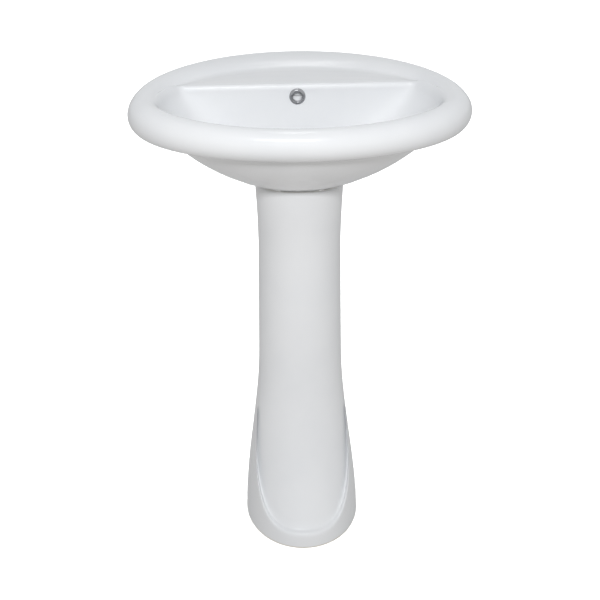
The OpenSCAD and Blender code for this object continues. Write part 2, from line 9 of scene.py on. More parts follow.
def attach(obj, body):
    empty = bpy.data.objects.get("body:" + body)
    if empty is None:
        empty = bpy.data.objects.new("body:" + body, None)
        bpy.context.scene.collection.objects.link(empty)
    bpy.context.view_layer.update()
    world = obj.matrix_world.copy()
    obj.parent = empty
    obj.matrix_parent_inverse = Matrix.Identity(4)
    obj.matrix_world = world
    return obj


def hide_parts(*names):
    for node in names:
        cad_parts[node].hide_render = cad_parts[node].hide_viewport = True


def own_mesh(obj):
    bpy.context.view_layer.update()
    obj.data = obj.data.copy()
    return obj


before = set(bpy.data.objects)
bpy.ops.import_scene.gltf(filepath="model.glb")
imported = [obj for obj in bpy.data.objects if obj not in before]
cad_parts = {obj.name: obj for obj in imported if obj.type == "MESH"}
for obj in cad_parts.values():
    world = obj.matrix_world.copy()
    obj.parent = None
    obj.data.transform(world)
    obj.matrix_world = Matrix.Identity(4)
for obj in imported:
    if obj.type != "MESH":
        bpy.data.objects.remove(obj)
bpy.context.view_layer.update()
MM = 0.001
STATIC = "sink"
MOVING = "stopper"


# ---------- camera ----------

LENS, SENSOR = 76.99, 36.0
HEADING, PITCH, ROLL = (math.radians(a) for a in (3.04, 26.62, 0.28))
CAMERA_PLACE = (-0.1084, -2.0453, 1.4503)


def place_camera():
    data = bpy.data.cameras.new("camera")
    data.lens = LENS
    data.sensor_width = SENSOR
    data.clip_start = 0.05
    data.clip_end = 60.0
    camera = bpy.data.objects.new("camera", data)
    bpy.context.scene.collection.objects.link(camera)
    level = math.cos(PITCH)
    forward = Vector((math.sin(HEADING) * level, math.cos(HEADING) * level, -math.sin(PITCH)))
    right = forward.cross(Vector((0, 0, 1))).normalized()
    up = right.cross(forward)
    turned_right = right * math.cos(ROLL) - up * math.sin(ROLL)
    turned_up = right * math.sin(ROLL) + up * math.cos(ROLL)
    spin = Matrix((turned_right, turned_up, -forward)).transposed()
    camera.matrix_world = Matrix.Translation(Vector(CAMERA_PLACE)) @ spin.to_4x4()
    bpy.context.scene.camera = camera


place_camera()


# ---------- the part's sizes, repeated from its design ----------

HEIGHT, BASIN_W, BASIN_FRONT, BASIN_REAR = 820.0, 560.0, 183.0, 274.0
ROLL_H, ROLL_R, FRONT_DIP = 58.0, 27.0, 7.0
RIM_SIDE, RIM_FRONT, RIM_REAR = 52.0, 48.0, 79.0
DECK_DROP, DECK_EDGE, DECK_T, TAP_D, TAP_SKIN = 14.0, 94.0, 14.0, 35.0, 3.0
BOWL_DEPTH, DISH_H, DRAIN_BACK, DRAIN_D = 148.0, 124.5, 30.5, 45.0
OVERFLOW_DROP, OVERFLOW_D = 34.5, 20.0
RIM_FALL, DECK_FALL = 19.0, 7.0
BOLT_SPACING, BOLT_D, BOLT_DROP, APRON_T = 150.0, 14.0, 95.0, 18.0
WAIST_W, FOOT_W, FOOT_FRONT, PLINTH_H, CHINA_T = 143.0, 208.0, 137.0, 29.0, 11.0
SEAT_GAP, FLOOR_SPACING, FLOOR_HOLE_D = 2.4, 130.0, 7.0
WASTE_D, FLANGE_D, TRAVEL, PIPE_D, PIPE_DROP, CUP_D = 41.6, 63.0, 9.0, 32.0, 318.0, 62.0

WALL_Y = (BASIN_FRONT + BASIN_REAR) / 2
WIDE_Y = WALL_Y - BASIN_REAR
DECK_Z = HEIGHT - DECK_DROP
DECK_Y = WIDE_Y + DECK_EDGE
TAP_Y = (DECK_Y + 6 + WALL_Y - RIM_REAR) / 2
ROLL_Z = HEIGHT - ROLL_H
BOWL_Z = HEIGHT - BOWL_DEPTH
DRAIN_Y = WIDE_Y + DRAIN_BACK
DRAIN_FLAT = 36.0
DISH_A = BASIN_W / 2 - ROLL_R - 36
DISH_OVAL_Y = WIDE_Y - 3
DISH_B = BASIN_FRONT - 36
DISH_REAR_B = BASIN_REAR - RIM_REAR + 14
DISH_Y = WIDE_Y + 49
DISH_BACK = DECK_Y + 18
UNDER_Z = DECK_Z - DECK_T
BOSS_Z = BOWL_Z - 42
BOSS_R = 33.0
DRAIN_R = DRAIN_D / 2
RIM_EDGE_REAR = RIM_REAR + 8


# ---------- mesh helpers ----------

def as_object(name, mesh_bm, material, smooth_angle=40.0):
    bmesh.ops.recalc_face_normals(mesh_bm, faces=mesh_bm.faces)
    mesh = bpy.data.meshes.new(name)
    mesh_bm.to_mesh(mesh)
    mesh_bm.free()
    for polygon in mesh.polygons:
        polygon.use_smooth = True
    mesh.set_sharp_from_angle(angle=math.radians(smooth_angle))
    obj = bpy.data.objects.new(name, mesh)
    bpy.context.scene.collection.objects.link(obj)
    mesh.materials.append(material)
    return obj


def add_rings(bm, rings, around=True, loop=False, capped=False):
    """Adds a skin over rings of points: an array (rings, points, 3) in mm."""
    rings = np.asarray(rings, dtype=float) * MM
    count, n = rings.shape[:2]
    verts = [[bm.verts.new(p) for p in ring] for ring in rings]
    for j in range(count if loop else count - 1):
        low, high = verts[j], verts[(j + 1) % count]
        for k in range(n if around else n - 1):
            m = (k + 1) % n
            bm.faces.new((low[k], low[m], high[m], high[k]))
    if capped:
        bm.faces.new(list(reversed(verts[0])))
        bm.faces.new(verts[-1])
    return verts


def skin_piece(name, rings, material, smooth_angle=40.0, loop=False):
    """A closed piece over rings of points, its ends capped unless the rings close in a loop."""
    bm = bmesh.new()
    add_rings(bm, rings, loop=loop, capped=not loop)
    return as_object(name, bm, material, smooth_angle)


def refine(points, sub):
    """Puts sub - 1 points between the points along axis 0, on a centripetal Catmull-Rom curve."""
    points = np.asarray(points, dtype=float)
    ends = np.concatenate([2 * points[:1] - points[1:2], points, 2 * points[-1:] - points[-2:-1]])
    steps = np.sqrt(np.maximum(np.linalg.norm(np.diff(ends, axis=0), axis=-1), 1e-4))[..., None]
    out = []
    for i in range(1, len(ends) - 2):
        p0, p1, p2, p3 = ends[i - 1], ends[i], ends[i + 1], ends[i + 2]
        d0, d1, d2 = steps[i - 1], steps[i], steps[i + 1]
        m1 = (p1 - p0) / d0 - (p2 - p0) / (d0 + d1) + (p2 - p1) / d1
        m2 = (p2 - p1) / d1 - (p3 - p1) / (d1 + d2) + (p3 - p2) / d2
        m1, m2 = m1 * d1, m2 * d1
        for s in range(sub):
            t = s / sub
            out.append((2 * t**3 - 3 * t**2 + 1) * p1 + (t**3 - 2 * t**2 + t) * m1
                       + (3 * t**2 - 2 * t**3) * p2 + (t**3 - t**2) * m2)
    out.append(points[-1])
    return np.array(out)


def rounded(profile, radius, arc=5):
    """A closed profile of (r, z) with its corners rounded. radius is one number, or one a corner."""
    n = len(profile)
    radii = radius if isinstance(radius, (list, tuple)) else [radius] * n
    out = []
    for i in range(n):
        a, b, c = (Vector(profile[(i + d) % n]) for d in (-1, 0, 1))
        u, v = a - b, c - b
        reach = min(radii[i], 0.45 * u.length, 0.45 * v.length)
        if reach < 1e-3 or abs(u.angle(v) - math.pi) < 0.05:
            out.append(tuple(b))
            continue
        start, end = b + u.normalized() * reach, b + v.normalized() * reach
        for s in range(arc + 1):
            w = s / arc
            out.append(tuple(start * (1 - w) ** 2 + b * 2 * w * (1 - w) + end * w * w))
    return out


def turn_points(profile, segments, radial=None):
    """Rings for a profile of (r, z) turned about Z; radial(angle, r, z) may change the radius."""
    angles = np.arange(segments) * 2 * math.pi / segments
    rings = []
    for r, z in profile:
        rr = np.full(segments, r) if radial is None else np.array([radial(a, r, z) for a in angles])
        rings.append(np.stack([rr * np.cos(angles), rr * np.sin(angles), np.full(segments, z)], axis=-1))
    return np.array(rings)


def on_drain(rings):
    return np.asarray(rings) + np.array([0.0, DRAIN_Y, 0.0])


def along_pipe(rings, y):
    """Turns rings made about Z so that their axis runs back along the waste pipe from y."""
    rings = np.asarray(rings)
    return np.stack([rings[..., 0], y + rings[..., 2], PIPE_Z - rings[..., 1]], axis=-1)


def carve(obj, cutter_bm):
    """Cuts a closed shape out of an object, and keeps the object's smooth shading."""
    bmesh.ops.recalc_face_normals(cutter_bm, faces=cutter_bm.faces)
    mesh = bpy.data.meshes.new("cutter")
    cutter_bm.to_mesh(mesh)
    cutter_bm.free()
    cutter = bpy.data.objects.new("cutter", mesh)
    bpy.context.scene.collection.objects.link(cutter)
    modifier = obj.modifiers.new("carve", "BOOLEAN")
    modifier.operation = "DIFFERENCE"
    modifier.solver = "EXACT"
    modifier.object = cutter
    graph = bpy.context.evaluated_depsgraph_get()
    result = bpy.data.meshes.new_from_object(obj.evaluated_get(graph))
    obj.modifiers.clear()
    obj.data = result
    bpy.data.objects.remove(cutter)
    for polygon in result.polygons:
        polygon.use_smooth = True
    result.set_sharp_from_angle(angle=math.radians(35))


def finish_piece(obj, body, slot, *nodes):
    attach(obj, body)
    if nodes:
        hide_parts(*nodes)
    return obj


# ---------- materials ----------

class Nodes:
    """A material being built, with short ways to add and join its nodes."""

    def __init__(self, name, color, roughness, metallic=0.0, ior=1.5):
        self.material = bpy.data.materials.new(name)
        self.material.use_nodes = True
        self.tree = self.material.node_tree
        self.shader = self.tree.nodes["Principled BSDF"]
        self.shader.inputs["Base Color"].default_value = (*color, 1.0)
        self.shader.inputs["Roughness"].default_value = roughness
        self.shader.inputs["Metallic"].default_value = metallic
        self.shader.inputs["IOR"].default_value = ior
        self.place = self.tree.nodes.new("ShaderNodeTexCoord").outputs["Object"]

    def add(self, kind, **values):
        node = self.tree.nodes.new(kind)
        for key, value in values.items():
            if hasattr(node, key):
                setattr(node, key, value)
            else:
                node.inputs[key.replace("_", " ")].default_value = value
        return node

    def join(self, source, target):
        self.tree.links.new(source, target)

    def noise(self, scale, detail=2.0, stretch=None):
        node = self.add("ShaderNodeTexNoise", Scale=scale, Detail=detail)
        source = self.place
        if stretch:
            mapping = self.add("ShaderNodeMapping")
            mapping.inputs["Scale"].default_value = stretch
            self.join(source, mapping.inputs["Vector"])
            source = mapping.outputs["Vector"]
        self.join(source, node.inputs["Vector"])
        return node.outputs["Fac"]

    def remap(self, source, low, high, from_low=0.3, from_high=0.7):
        node = self.add("ShaderNodeMapRange")
        for key, value in (("From Min", from_low), ("From Max", from_high), ("To Min", low), ("To Max", high)):
            node.inputs[key].default_value = value
        self.join(source, node.inputs["Value"])
        return node.outputs["Result"]

    def tint(self, source, low, high, from_low=0.3, from_high=0.7):
        """Base colour between two colours by a value."""
        node = self.add("ShaderNodeValToRGB")
        node.color_ramp.elements[0].position = from_low
        node.color_ramp.elements[0].color = (*low, 1.0)
        node.color_ramp.elements[1].position = from_high
        node.color_ramp.elements[1].color = (*high, 1.0)
        self.join(source, node.inputs["Fac"])
        return node.outputs["Color"]

    def blend_colors(self, factor, first, second):
        node = self.add("ShaderNodeMix", data_type="RGBA")
        self.join(factor, node.inputs["Factor"])
        self.join(first, node.inputs["A"])
        self.join(second, node.inputs["B"])
        return node.outputs["Result"]

    def math(self, operation, first, second):
        node = self.add("ShaderNodeMath", operation=operation)
        for i, value in enumerate((first, second)):
            if isinstance(value, (int, float)):
                node.inputs[i].default_value = value
            else:
                self.join(value, node.inputs[i])
        return node.outputs["Value"]

    def bump(self, height, strength, distance, under=None):
        node = self.add("ShaderNodeBump", Strength=strength, Distance=distance)
        self.join(height, node.inputs["Height"])
        if under is not None:
            self.join(under, node.inputs["Normal"])
        return node.outputs["Normal"]

    def use(self, **links):
        for key, source in links.items():
            self.join(source, self.shader.inputs[key.replace("_", " ")])
        return self.material


def china_material():
    m = Nodes("glazed_china", (0.80, 0.81, 0.825), 0.18, ior=1.5)
    cloud = m.noise(9.0, 3.0)
    speck = m.noise(900.0, 2.0)
    glaze = m.tint(cloud, (0.755, 0.768, 0.785), (0.79, 0.80, 0.812), 0.35, 0.65)
    pits = m.tint(speck, (0.74, 0.745, 0.75), (0.785, 0.797, 0.81), 0.24, 0.36)
    color = m.blend_colors(m.remap(cloud, 0.15, 0.45), glaze, pits)
    # bare clay where the foot stands on the floor and was wiped clean before firing
    height = m.add("ShaderNodeSeparateXYZ")
    m.join(m.place, height.inputs["Vector"])
    wander = m.math("MULTIPLY", m.noise(60.0, 2.0), 0.0012)
    level = m.math("SUBTRACT", height.outputs["Z"], wander)
    bare = m.remap(level, 1.0, 0.0, 0.0014, 0.0022)
    clay = m.tint(m.noise(700.0, 3.0), (0.60, 0.56, 0.50), (0.70, 0.67, 0.61))
    color = m.blend_colors(bare, color, clay)
    gloss = m.remap(m.noise(14.0, 3.0), 0.15, 0.21)
    rough = m.math("ADD", gloss, m.math("MULTIPLY", bare, 0.55))
    ripple = m.bump(m.noise(28.0, 1.0), 0.035, 0.002)
    peel = m.bump(m.noise(420.0, 1.0), 0.02, 0.0004, ripple)
    return m.use(Base_Color=color, Roughness=rough, Normal=peel)


def chrome_material(name, tone):
    m = Nodes(name, (tone, tone * 1.01, tone * 1.05), 0.08, metallic=1.0)
    film = m.noise(120.0, 3.0)
    color = m.tint(film, (tone * 0.9, tone * 0.91, tone * 0.95), (tone * 1.06, tone * 1.07, tone * 1.1))
    haze = m.remap(m.noise(240.0, 4.0), 0.05, 0.14)
    wipe = m.bump(m.noise(500.0, 2.0, (1.0, 6.0, 1.0)), 0.02, 0.0003)
    return m.use(Base_Color=color, Roughness=haze, Normal=wipe)


def steel_material():
    m = Nodes("steel", (0.55, 0.55, 0.54), 0.32, metallic=1.0)
    lines = m.noise(160.0, 4.0, (1.0, 1.0, 18.0))
    color = m.tint(lines, (0.50, 0.50, 0.49), (0.62, 0.62, 0.61))
    return m.use(Base_Color=color, Roughness=m.remap(lines, 0.24, 0.42), Normal=m.bump(lines, 0.12, 0.0002))


def brass_material():
    m = Nodes("brass", (0.70, 0.52, 0.24), 0.34, metallic=1.0)
    cast = m.noise(320.0, 5.0)
    stain = m.noise(45.0, 4.0)
    color = m.tint(stain, (0.56, 0.40, 0.17), (0.76, 0.58, 0.28))
    return m.use(Base_Color=color, Roughness=m.remap(stain, 0.26, 0.48), Normal=m.bump(cast, 0.2, 0.0004))


def rubber_material():
    m = Nodes("rubber", (0.025, 0.025, 0.027), 0.62, ior=1.52)
    grain = m.noise(1400.0, 4.0)
    dust = m.noise(70.0, 4.0)
    color = m.tint(dust, (0.018, 0.018, 0.02), (0.05, 0.05, 0.052))
    return m.use(Base_Color=color, Roughness=m.remap(dust, 0.52, 0.78), Normal=m.bump(grain, 0.25, 0.0003))


def bedding_material():
    m = Nodes("bedding", (0.74, 0.74, 0.72), 0.7, ior=1.45)
    tool = m.noise(90.0, 3.0, (1.0, 1.0, 3.0))
    grain = m.noise(1100.0, 4.0)
    color = m.tint(tool, (0.62, 0.62, 0.60), (0.74, 0.74, 0.72))
    wave = m.bump(tool, 0.4, 0.0008)
    return m.use(Base_Color=color, Roughness=m.remap(grain, 0.55, 0.8), Normal=m.bump(grain, 0.2, 0.0003, wave))


def plastic_material(name, low, high, rough):
    m = Nodes(name, high, rough, ior=1.49)
    flow = m.noise(26.0, 3.0)
    spark = m.noise(1600.0, 3.0)
    color = m.tint(flow, low, high)
    sheen = m.remap(m.noise(120.0, 3.0), rough - 0.05, rough + 0.08)
    return m.use(Base_Color=color, Roughness=sheen, Normal=m.bump(spark, 0.16, 0.00025))


def floor_material():
    m = Nodes("pale_floor", (0.93, 0.93, 0.93), 0.6, ior=1.3)
    cloud = m.noise(1.5, 3.0)
    color = m.tint(cloud, (0.915, 0.915, 0.915), (0.935, 0.935, 0.935))
    return m.use(Base_Color=color, Roughness=m.remap(m.noise(30.0, 3.0), 0.6, 0.75))


CHINA = china_material()
CHROME = chrome_material("chrome", 0.70)
# the overflow ring's chrome has a dark base tone: a painted dark reflection in place of the surroundings it would
# mirror, not age or wear
OVERFLOW_CHROME = chrome_material("chrome_painted_dark_reflection", 0.36)
STEEL = steel_material()
BRASS = brass_material()
RUBBER = rubber_material()
BEDDING = bedding_material()
WHITE = plastic_material("white_plastic", (0.70, 0.70, 0.685), (0.76, 0.76, 0.745), 0.32)
GREY = plastic_material("grey_plastic", (0.24, 0.25, 0.26), (0.30, 0.31, 0.32), 0.42)


# ---------- basin ----------

def mix(a, b, w):
    return a + (b - a) * w


def step(x):
    c = np.clip(x, 0, 1)
    return c * c * (3 - 2 * c)


def soft_min(a, b, k):
    return (a + b - np.sqrt((a - b) ** 2 + k * k)) / 2


AROUND = 288
T = np.arange(AROUND) * 2 * math.pi / AROUND
COS, SIN = np.cos(T), np.sin(T)


def oval(side, front, rear):
    return (BASIN_W / 2 - side) * COS, WIDE_Y + np.where(SIN < 0, BASIN_FRONT - front, BASIN_REAR - rear) * SIN


DECK_SHARE = step((oval(RIM_SIDE, RIM_FRONT, RIM_REAR)[1] - DECK_Y + 16) / 30)
HOLLOW = step((SIN - 0.12) / 0.3)
CREST = HEIGHT - np.where(SIN < 0, FRONT_DIP * SIN * SIN, 0)


def ring(x, y, z):
    return np.stack([x, y, np.broadcast_to(z, x.shape)], axis=-1)


def roll_ring(turn):
    inset = ROLL_R * (1 - math.cos(turn))
    half = (CREST - ROLL_Z) / 2
    x, y = oval(inset, inset, inset)
    return ring(x, y, ROLL_Z + half + half * math.sin(turn))


def slope_ring(s):
    ix, iy = oval(RIM_SIDE - 10, RIM_FRONT - 9, RIM_REAR)
    cx, cy = oval(ROLL_R, ROLL_R, ROLL_R)
    fall = mix(5, DECK_DROP, step(SIN * 1.6))
    return ring(mix(cx, ix, s), mix(cy, iy, s), CREST - fall * s**2.1)


def corner_ease(v):
    """How widely the bowl's corners are rounded at depth v; the edge itself is at 0."""
    return 7 + 65 * v


def edge_ring(g, deck_fall, rim_fall, ease=corner_ease(0)):
    x, y = oval(RIM_SIDE - g, RIM_FRONT - g, RIM_EDGE_REAR - g)
    z = mix(CREST - rim_fall, DECK_Z - deck_fall, DECK_SHARE)
    return ring(x, soft_min(y, DECK_Y + g, ease), z)


def bowl_rho(v):
    return (1 - v**1.3) ** (1 / 1.7)


def bowl_ring(v):
    edge = edge_ring(0, DECK_FALL, RIM_FALL, corner_ease(v))
    x = mix(DRAIN_FLAT * COS, edge[:, 0], bowl_rho(v))
    y = mix(DRAIN_Y + DRAIN_FLAT * SIN, edge[:, 1], bowl_rho(v))
    return ring(x, y, mix(edge[:, 2], BOWL_Z, v))


def dish_edge(g, cos=COS, sin=SIN):
    half = np.where(sin < 0, DISH_B, DISH_REAR_B) + g
    return (DISH_A + g) * cos, soft_min(DISH_OVAL_Y + half * sin, DISH_BACK + g, 12)


def dish_ring(u):
    x, y = dish_edge(0)
    r = (1 - u**1.25) ** (1 / 1.55)
    return ring(x * r, mix(DISH_Y, y, r), ROLL_Z - DISH_H * u)


FINE = np.linspace(-math.pi, math.pi, 2881)
FINE_X, FINE_Y = dish_edge(0, np.cos(FINE), np.sin(FINE))
FINE_Y = FINE_Y - DISH_Y
FINE_TURN = np.unwrap(np.arctan2(FINE_Y, FINE_X))
FINE_R = np.hypot(FINE_X, FINE_Y)


def dish_z(x, y):
    turn = np.arctan2(y - DISH_Y, x)
    edge = np.interp(np.mod(turn - FINE_TURN[0], 2 * math.pi) + FINE_TURN[0], FINE_TURN, FINE_R)
    r = np.clip(np.hypot(x, y - DISH_Y) / edge, 0, 1)
    return ROLL_Z - DISH_H * (1 - r**1.55) ** (1 / 1.25)


def under_rings():
    rim = lambda inset: oval(inset, inset, inset)
    front = [
        ring(rim(ROLL_R + 7)[0], rim(ROLL_R + 3)[1], ROLL_Z + 1),
        ring(*dish_edge(8), ROLL_Z + 2), ring(*dish_edge(3), ROLL_Z + 1), ring(*dish_edge(1), ROLL_Z - 1),
        dish_ring(0.018), dish_ring(0.028), dish_ring(0.042),
    ]
    rear = [
        ring(*rim(ROLL_R + 8), ROLL_Z + 1), ring(*rim(ROLL_R + 13), ROLL_Z + 12),
        ring(*rim(ROLL_R + 17), UNDER_Z - 4), ring(*rim(ROLL_R + 22), UNDER_Z),
        ring(*dish_edge(13), UNDER_Z), ring(*dish_edge(3), UNDER_Z - 4), ring(*dish_edge(0), UNDER_Z - 14),
    ]
    return [mix(f, r, HOLLOW[:, None]) for f, r in zip(front, rear)]


def drain_circle(r, z):
    return ring(r * COS, DRAIN_Y + r * SIN, z)


# the dish's middle, out to this share of its width, is laid in level rings round the drain's boss
DISH_SPLIT = 0.62


def basin_skin():
    """Rings from the drain hole's lower edge out under the dish, over the rim, and down the bowl."""
    boss = [(DRAIN_R, 1.2), (DRAIN_R + 0.4, 0.3), (DRAIN_R + 1.4, 0), (25, 0), (28, 0), (BOSS_R - 2.2, 0),
            (BOSS_R - 0.7, 0.6), (BOSS_R, 2.2)]
    rings = [drain_circle(r, BOSS_Z + rise) for r, rise in boss]
    foot_x, foot_y = 37 * COS, DRAIN_Y + 37 * SIN
    root_z = dish_z((BOSS_R + 1) * COS, DRAIN_Y + (BOSS_R + 1) * SIN)
    rings += [drain_circle(BOSS_R + 0.2, mix(BOSS_Z + 2.2, root_z, w)) for w in (0.35, 0.7)]
    rings.append(drain_circle(BOSS_R + 1.2, root_z - 0.8))
    edge_x, edge_y = dish_edge(0)
    out_x, out_y = edge_x * DISH_SPLIT, (edge_y - DISH_Y) * DISH_SPLIT + DISH_Y
    for w in (0, 0.1, 0.25, 0.45, 0.7, 1):
        x, y = mix(foot_x, out_x, w), mix(foot_y, out_y, w)
        rings.append(ring(x, y, dish_z(x, y)))
    at_u = (1 - DISH_SPLIT**1.55) ** 0.8
    rings += [dish_ring(u) for u in np.linspace(at_u, 0.075, 15)[1:]]
    under = under_rings()[::-1]
    lower_bridge = [rings[-2], rings[-1]] + under + [roll_ring(-math.pi / 2), roll_ring(-math.pi / 2 + 0.12)]
    fine = refine(np.array(lower_bridge), 4)
    rings = rings[:-2] + list(fine[4:-4])
    rings += [roll_ring(a) for a in np.linspace(-math.pi / 2, math.pi / 2, 35)]
    rings += [slope_ring(s) for s in np.linspace(0, 1, 12)[1:-1]]
    edge = [slope_ring(0.9), slope_ring(1.0), edge_ring(7, 0, 7.6), edge_ring(4, 1, 11.1), edge_ring(1.7, 3.5, 15),
            edge_ring(0, DECK_FALL, RIM_FALL), bowl_ring(0.05), bowl_ring(0.1)]
    fine = refine(np.array(edge), 4)
    rings += list(fine[4:-4])
    rings += [bowl_ring(v) for v in 1 - np.linspace(1 - 0.1, 0.0, 34) ** 1.35 * (0.9 / 0.9**1.35)]
    lip = FLANGE_D / 2 + 1.5
    recess = [(lip + 1.2, 0), (lip + 0.3, 0.3), (lip, 1.2), (lip, 3.2), (lip - 0.8, 4), (DRAIN_R + 1, 4),
            (DRAIN_R, 5)]
    rings += [drain_circle(r, BOWL_Z - drop) for r, drop in recess] + [drain_circle(DRAIN_R, BOSS_Z + 20)]
    return np.array(rings)


OVERFLOW_Z = HEIGHT - OVERFLOW_DROP
DUCT_R = 11.2


def back_wall_y(z):
    top = DECK_Z - DECK_FALL
    v = (top - z) / (top - BOWL_Z)
    wall = soft_min(WALL_Y - RIM_EDGE_REAR, DECK_Y, corner_ease(v))
    return mix(DRAIN_Y + DRAIN_FLAT, wall, bowl_rho(v))


OVERFLOW_Y = back_wall_y(OVERFLOW_Z)
OVERFLOW_LEAN = math.atan((back_wall_y(OVERFLOW_Z + 8) - back_wall_y(OVERFLOW_Z - 8)) / 16)
OVERFLOW_SPIN = Matrix.Rotation(math.pi / 2 - OVERFLOW_LEAN, 3, "X")


def at_overflow(rings):
    spin = np.array(OVERFLOW_SPIN)
    return np.asarray(rings) @ spin.T + np.array([0.0, OVERFLOW_Y, OVERFLOW_Z])


def tube_cutter(profile, place, segments=96):
    bm = bmesh.new()
    add_rings(bm, place(turn_points(profile, segments)), capped=True)
    return bm


# the block's cheeks reach this far from the wall at the top, and its back steps in under the rim
CHEEK_REACH, CHEEK_TOP_DROP = 79.0, 22.0
STEP_IN, STEP_END = 22.0, 29.0
APRON_SOFT = 3.2


def apron_rings():
    """The block behind the bowl, as level rings of a rounded U, so that its edges are soft."""
    half = BOLT_SPACING / 2 + 30
    low = HEIGHT - BOLT_DROP - 35
    cheek = 18.0
    heights = [low, low + 0.5, low + 1.6, low + APRON_SOFT, *np.linspace(low, UNDER_Z + 2, 40)[2:]]
    rings = []
    for z in heights:
        # the cheeks' front edge slopes forward as it rises
        risen = max(0.0, min(1.0, (z - low) / (UNDER_Z - CHEEK_TOP_DROP - low)))
        reach = mix(APRON_T, CHEEK_REACH, risen)
        # above the roll's underside the block's back steps in, clear of the rim
        above = z - ROLL_Z - 3
        back = 0.0
        if above >= 3:
            back = mix(STEP_IN, STEP_END, (above - 3) / (UNDER_Z - ROLL_Z - 3))
        elif above >= 0:
            back = STEP_IN * above / 3.0
        soft = 0.0
        if z <= low + APRON_SOFT:
            w = (z - low) / APRON_SOFT
            soft = APRON_SOFT * (1 - math.sqrt(max(0.0, 1 - (1 - w) ** 2)))
        y_back = WALL_Y - min(back, STEP_END)
        y_front = WALL_Y - max(reach, APRON_T)
        rings.append(apron_section(half, cheek, y_back, y_front, WALL_Y - APRON_T, soft, z))
    return np.array(rings)


def apron_section(half, cheek, y_back, y_front, y_inner, soft, z):
    corner = 25.0
    points = []

    def arc(cx, cy, r, start, stop, n):
        for a in np.linspace(math.radians(start), math.radians(stop), n):
            points.append((cx + r * math.cos(a), cy + r * math.sin(a), z))

    half, cheek, y_back, y_inner = half - soft, cheek - 2 * soft, y_back - soft, y_inner + soft
    y_front = y_front + soft
    edge = min(5.0, cheek / 2 - 0.2)
    bend = max(min(corner, y_back - y_front - edge - 0.5), 2.0)
    arc(half - bend, y_back - bend, bend, 0, 90, 14)
    arc(-half + bend, y_back - bend, bend, 90, 180, 14)
    arc(-half + edge, y_front + edge, edge, 180, 270, 7)
    arc(-half + cheek - edge, y_front + edge, edge, 270, 360, 7)
    inner = max(min(10.0, (y_inner - y_front - edge - 0.5)), 0.3)
    arc(-half + cheek + inner, y_inner - inner, inner, 180, 90, 9)
    arc(half - cheek - inner, y_inner - inner, inner, 90, 0, 9)
    arc(half - cheek + edge, y_front + edge, edge, 180, 270, 7)
    arc(half - edge, y_front + edge, edge, 270, 360, 7)
    return points


def build_basin():
    bm = bmesh.new()
    rings = basin_skin()
    limit = np.array([BASIN_W / 2, WALL_Y, HEIGHT])
    rings = np.clip(rings, [-limit[0], -limit[1], 0], limit)
    add_rings(bm, rings)
    # the overflow hole's edge is hidden behind the ring's flange
    centre = Vector((0, OVERFLOW_Y, OVERFLOW_Z)) * MM
    axis = OVERFLOW_SPIN @ Vector((0, 0, 1))
    gone = []
    for face in bm.faces:
        d = face.calc_center_median() - centre
        along = d.dot(axis)
        if abs(along) < 0.008 and (d - axis * along).length < 0.0096:
            gone.append(face)
    bmesh.ops.delete(bm, geom=gone, context="FACES")
    loose = [v for v in bm.verts if not v.link_faces]
    bmesh.ops.delete(bm, geom=loose, context="VERTS")
    basin = as_object("basin_china", bm, CHINA, 50)
    bore = [(TAP_D / 2, UNDER_Z - 20), (TAP_D / 2, DECK_Z - TAP_SKIN)]
    carve(basin, tube_cutter(bore, lambda p: p + np.array([0.0, TAP_Y, 0.0])))
    finish_piece(basin, STATIC, "china", "basin")
    # the hole's bore behind the ring and the duct down to the drain, seen from below the bowl
    hole_r = OVERFLOW_D / 2
    bore = [(hole_r + 2.6, -1.5), (hole_r, -1.5), (hole_r, -9), (0.4, -9.2), (0.2, -12), (hole_r + 2.6, -12)]
    bore_piece = skin_piece("overflow_bore", at_overflow(turn_points(bore, 64)), CHINA, loop=True)
    finish_piece(bore_piece, STATIC, "china", "basin")
    duct = [(0, DECK_Y + 9, OVERFLOW_Z), (0, DECK_Y + 6, BOWL_Z + 34), (0, DECK_Y - 5, BOWL_Z - 4),
            (0, DRAIN_Y + 14, BOWL_Z - 25)]
    line = refine(np.array(duct, dtype=float)[:, None, :], 8)[:, 0, :]
    rings = []
    for i, p in enumerate(line):
        ahead = line[min(i + 1, len(line) - 1)] - line[max(i - 1, 0)]
        ahead /= np.linalg.norm(ahead)
        side = np.array([1.0, 0, 0])
        other = np.cross(ahead, side)
        a = np.arange(40) * 2 * math.pi / 40
        rings.append(p + DUCT_R * (np.cos(a)[:, None] * side + np.sin(a)[:, None] * other))
    duct_piece = skin_piece("overflow_duct", np.array(rings), CHINA)
    finish_piece(duct_piece, STATIC, "china", "basin")
    apron = skin_piece("wall_apron", apron_rings(), CHINA, 50)
    for side in (-1, 1):
        def at_bolt(p, x=side * BOLT_SPACING / 2):
            return np.stack([p[..., 0] + x, WALL_Y + p[..., 2], HEIGHT - BOLT_DROP + p[..., 1]], axis=-1)
        r = BOLT_D / 2
        carve(apron, tube_cutter([(r, -APRON_T - 3), (r, 2)], at_bolt, 64))
    finish_piece(apron, STATIC, "china", "basin")


# ---------- pedestal ----------

FOOT_Y = WIDE_Y + 20
COLUMN_Y = DISH_Y
TOP_RING_Z = BOWL_Z - 32
SEAT_TOP_Z = BOWL_Z - 8
COLUMN_FRONT = 74.0
REAR_Y = COLUMN_Y + 66


def ped_half(z):
    flare = FOOT_W / 2 - WAIST_W / 2 - 8
    return (WAIST_W / 2 + 8 * np.maximum(0, 1 - z / 540) + flare * step(1 - z / 320)
            + 5 * np.maximum(0, (z - TOP_RING_Z + 140) / 140) ** 2)


def ped_centre(z):
    return mix(FOOT_Y, COLUMN_Y, step(z / 420))


def plinth_reach(z):
    return ped_centre(z) - (FOOT_Y - FOOT_FRONT) - z * 0.09


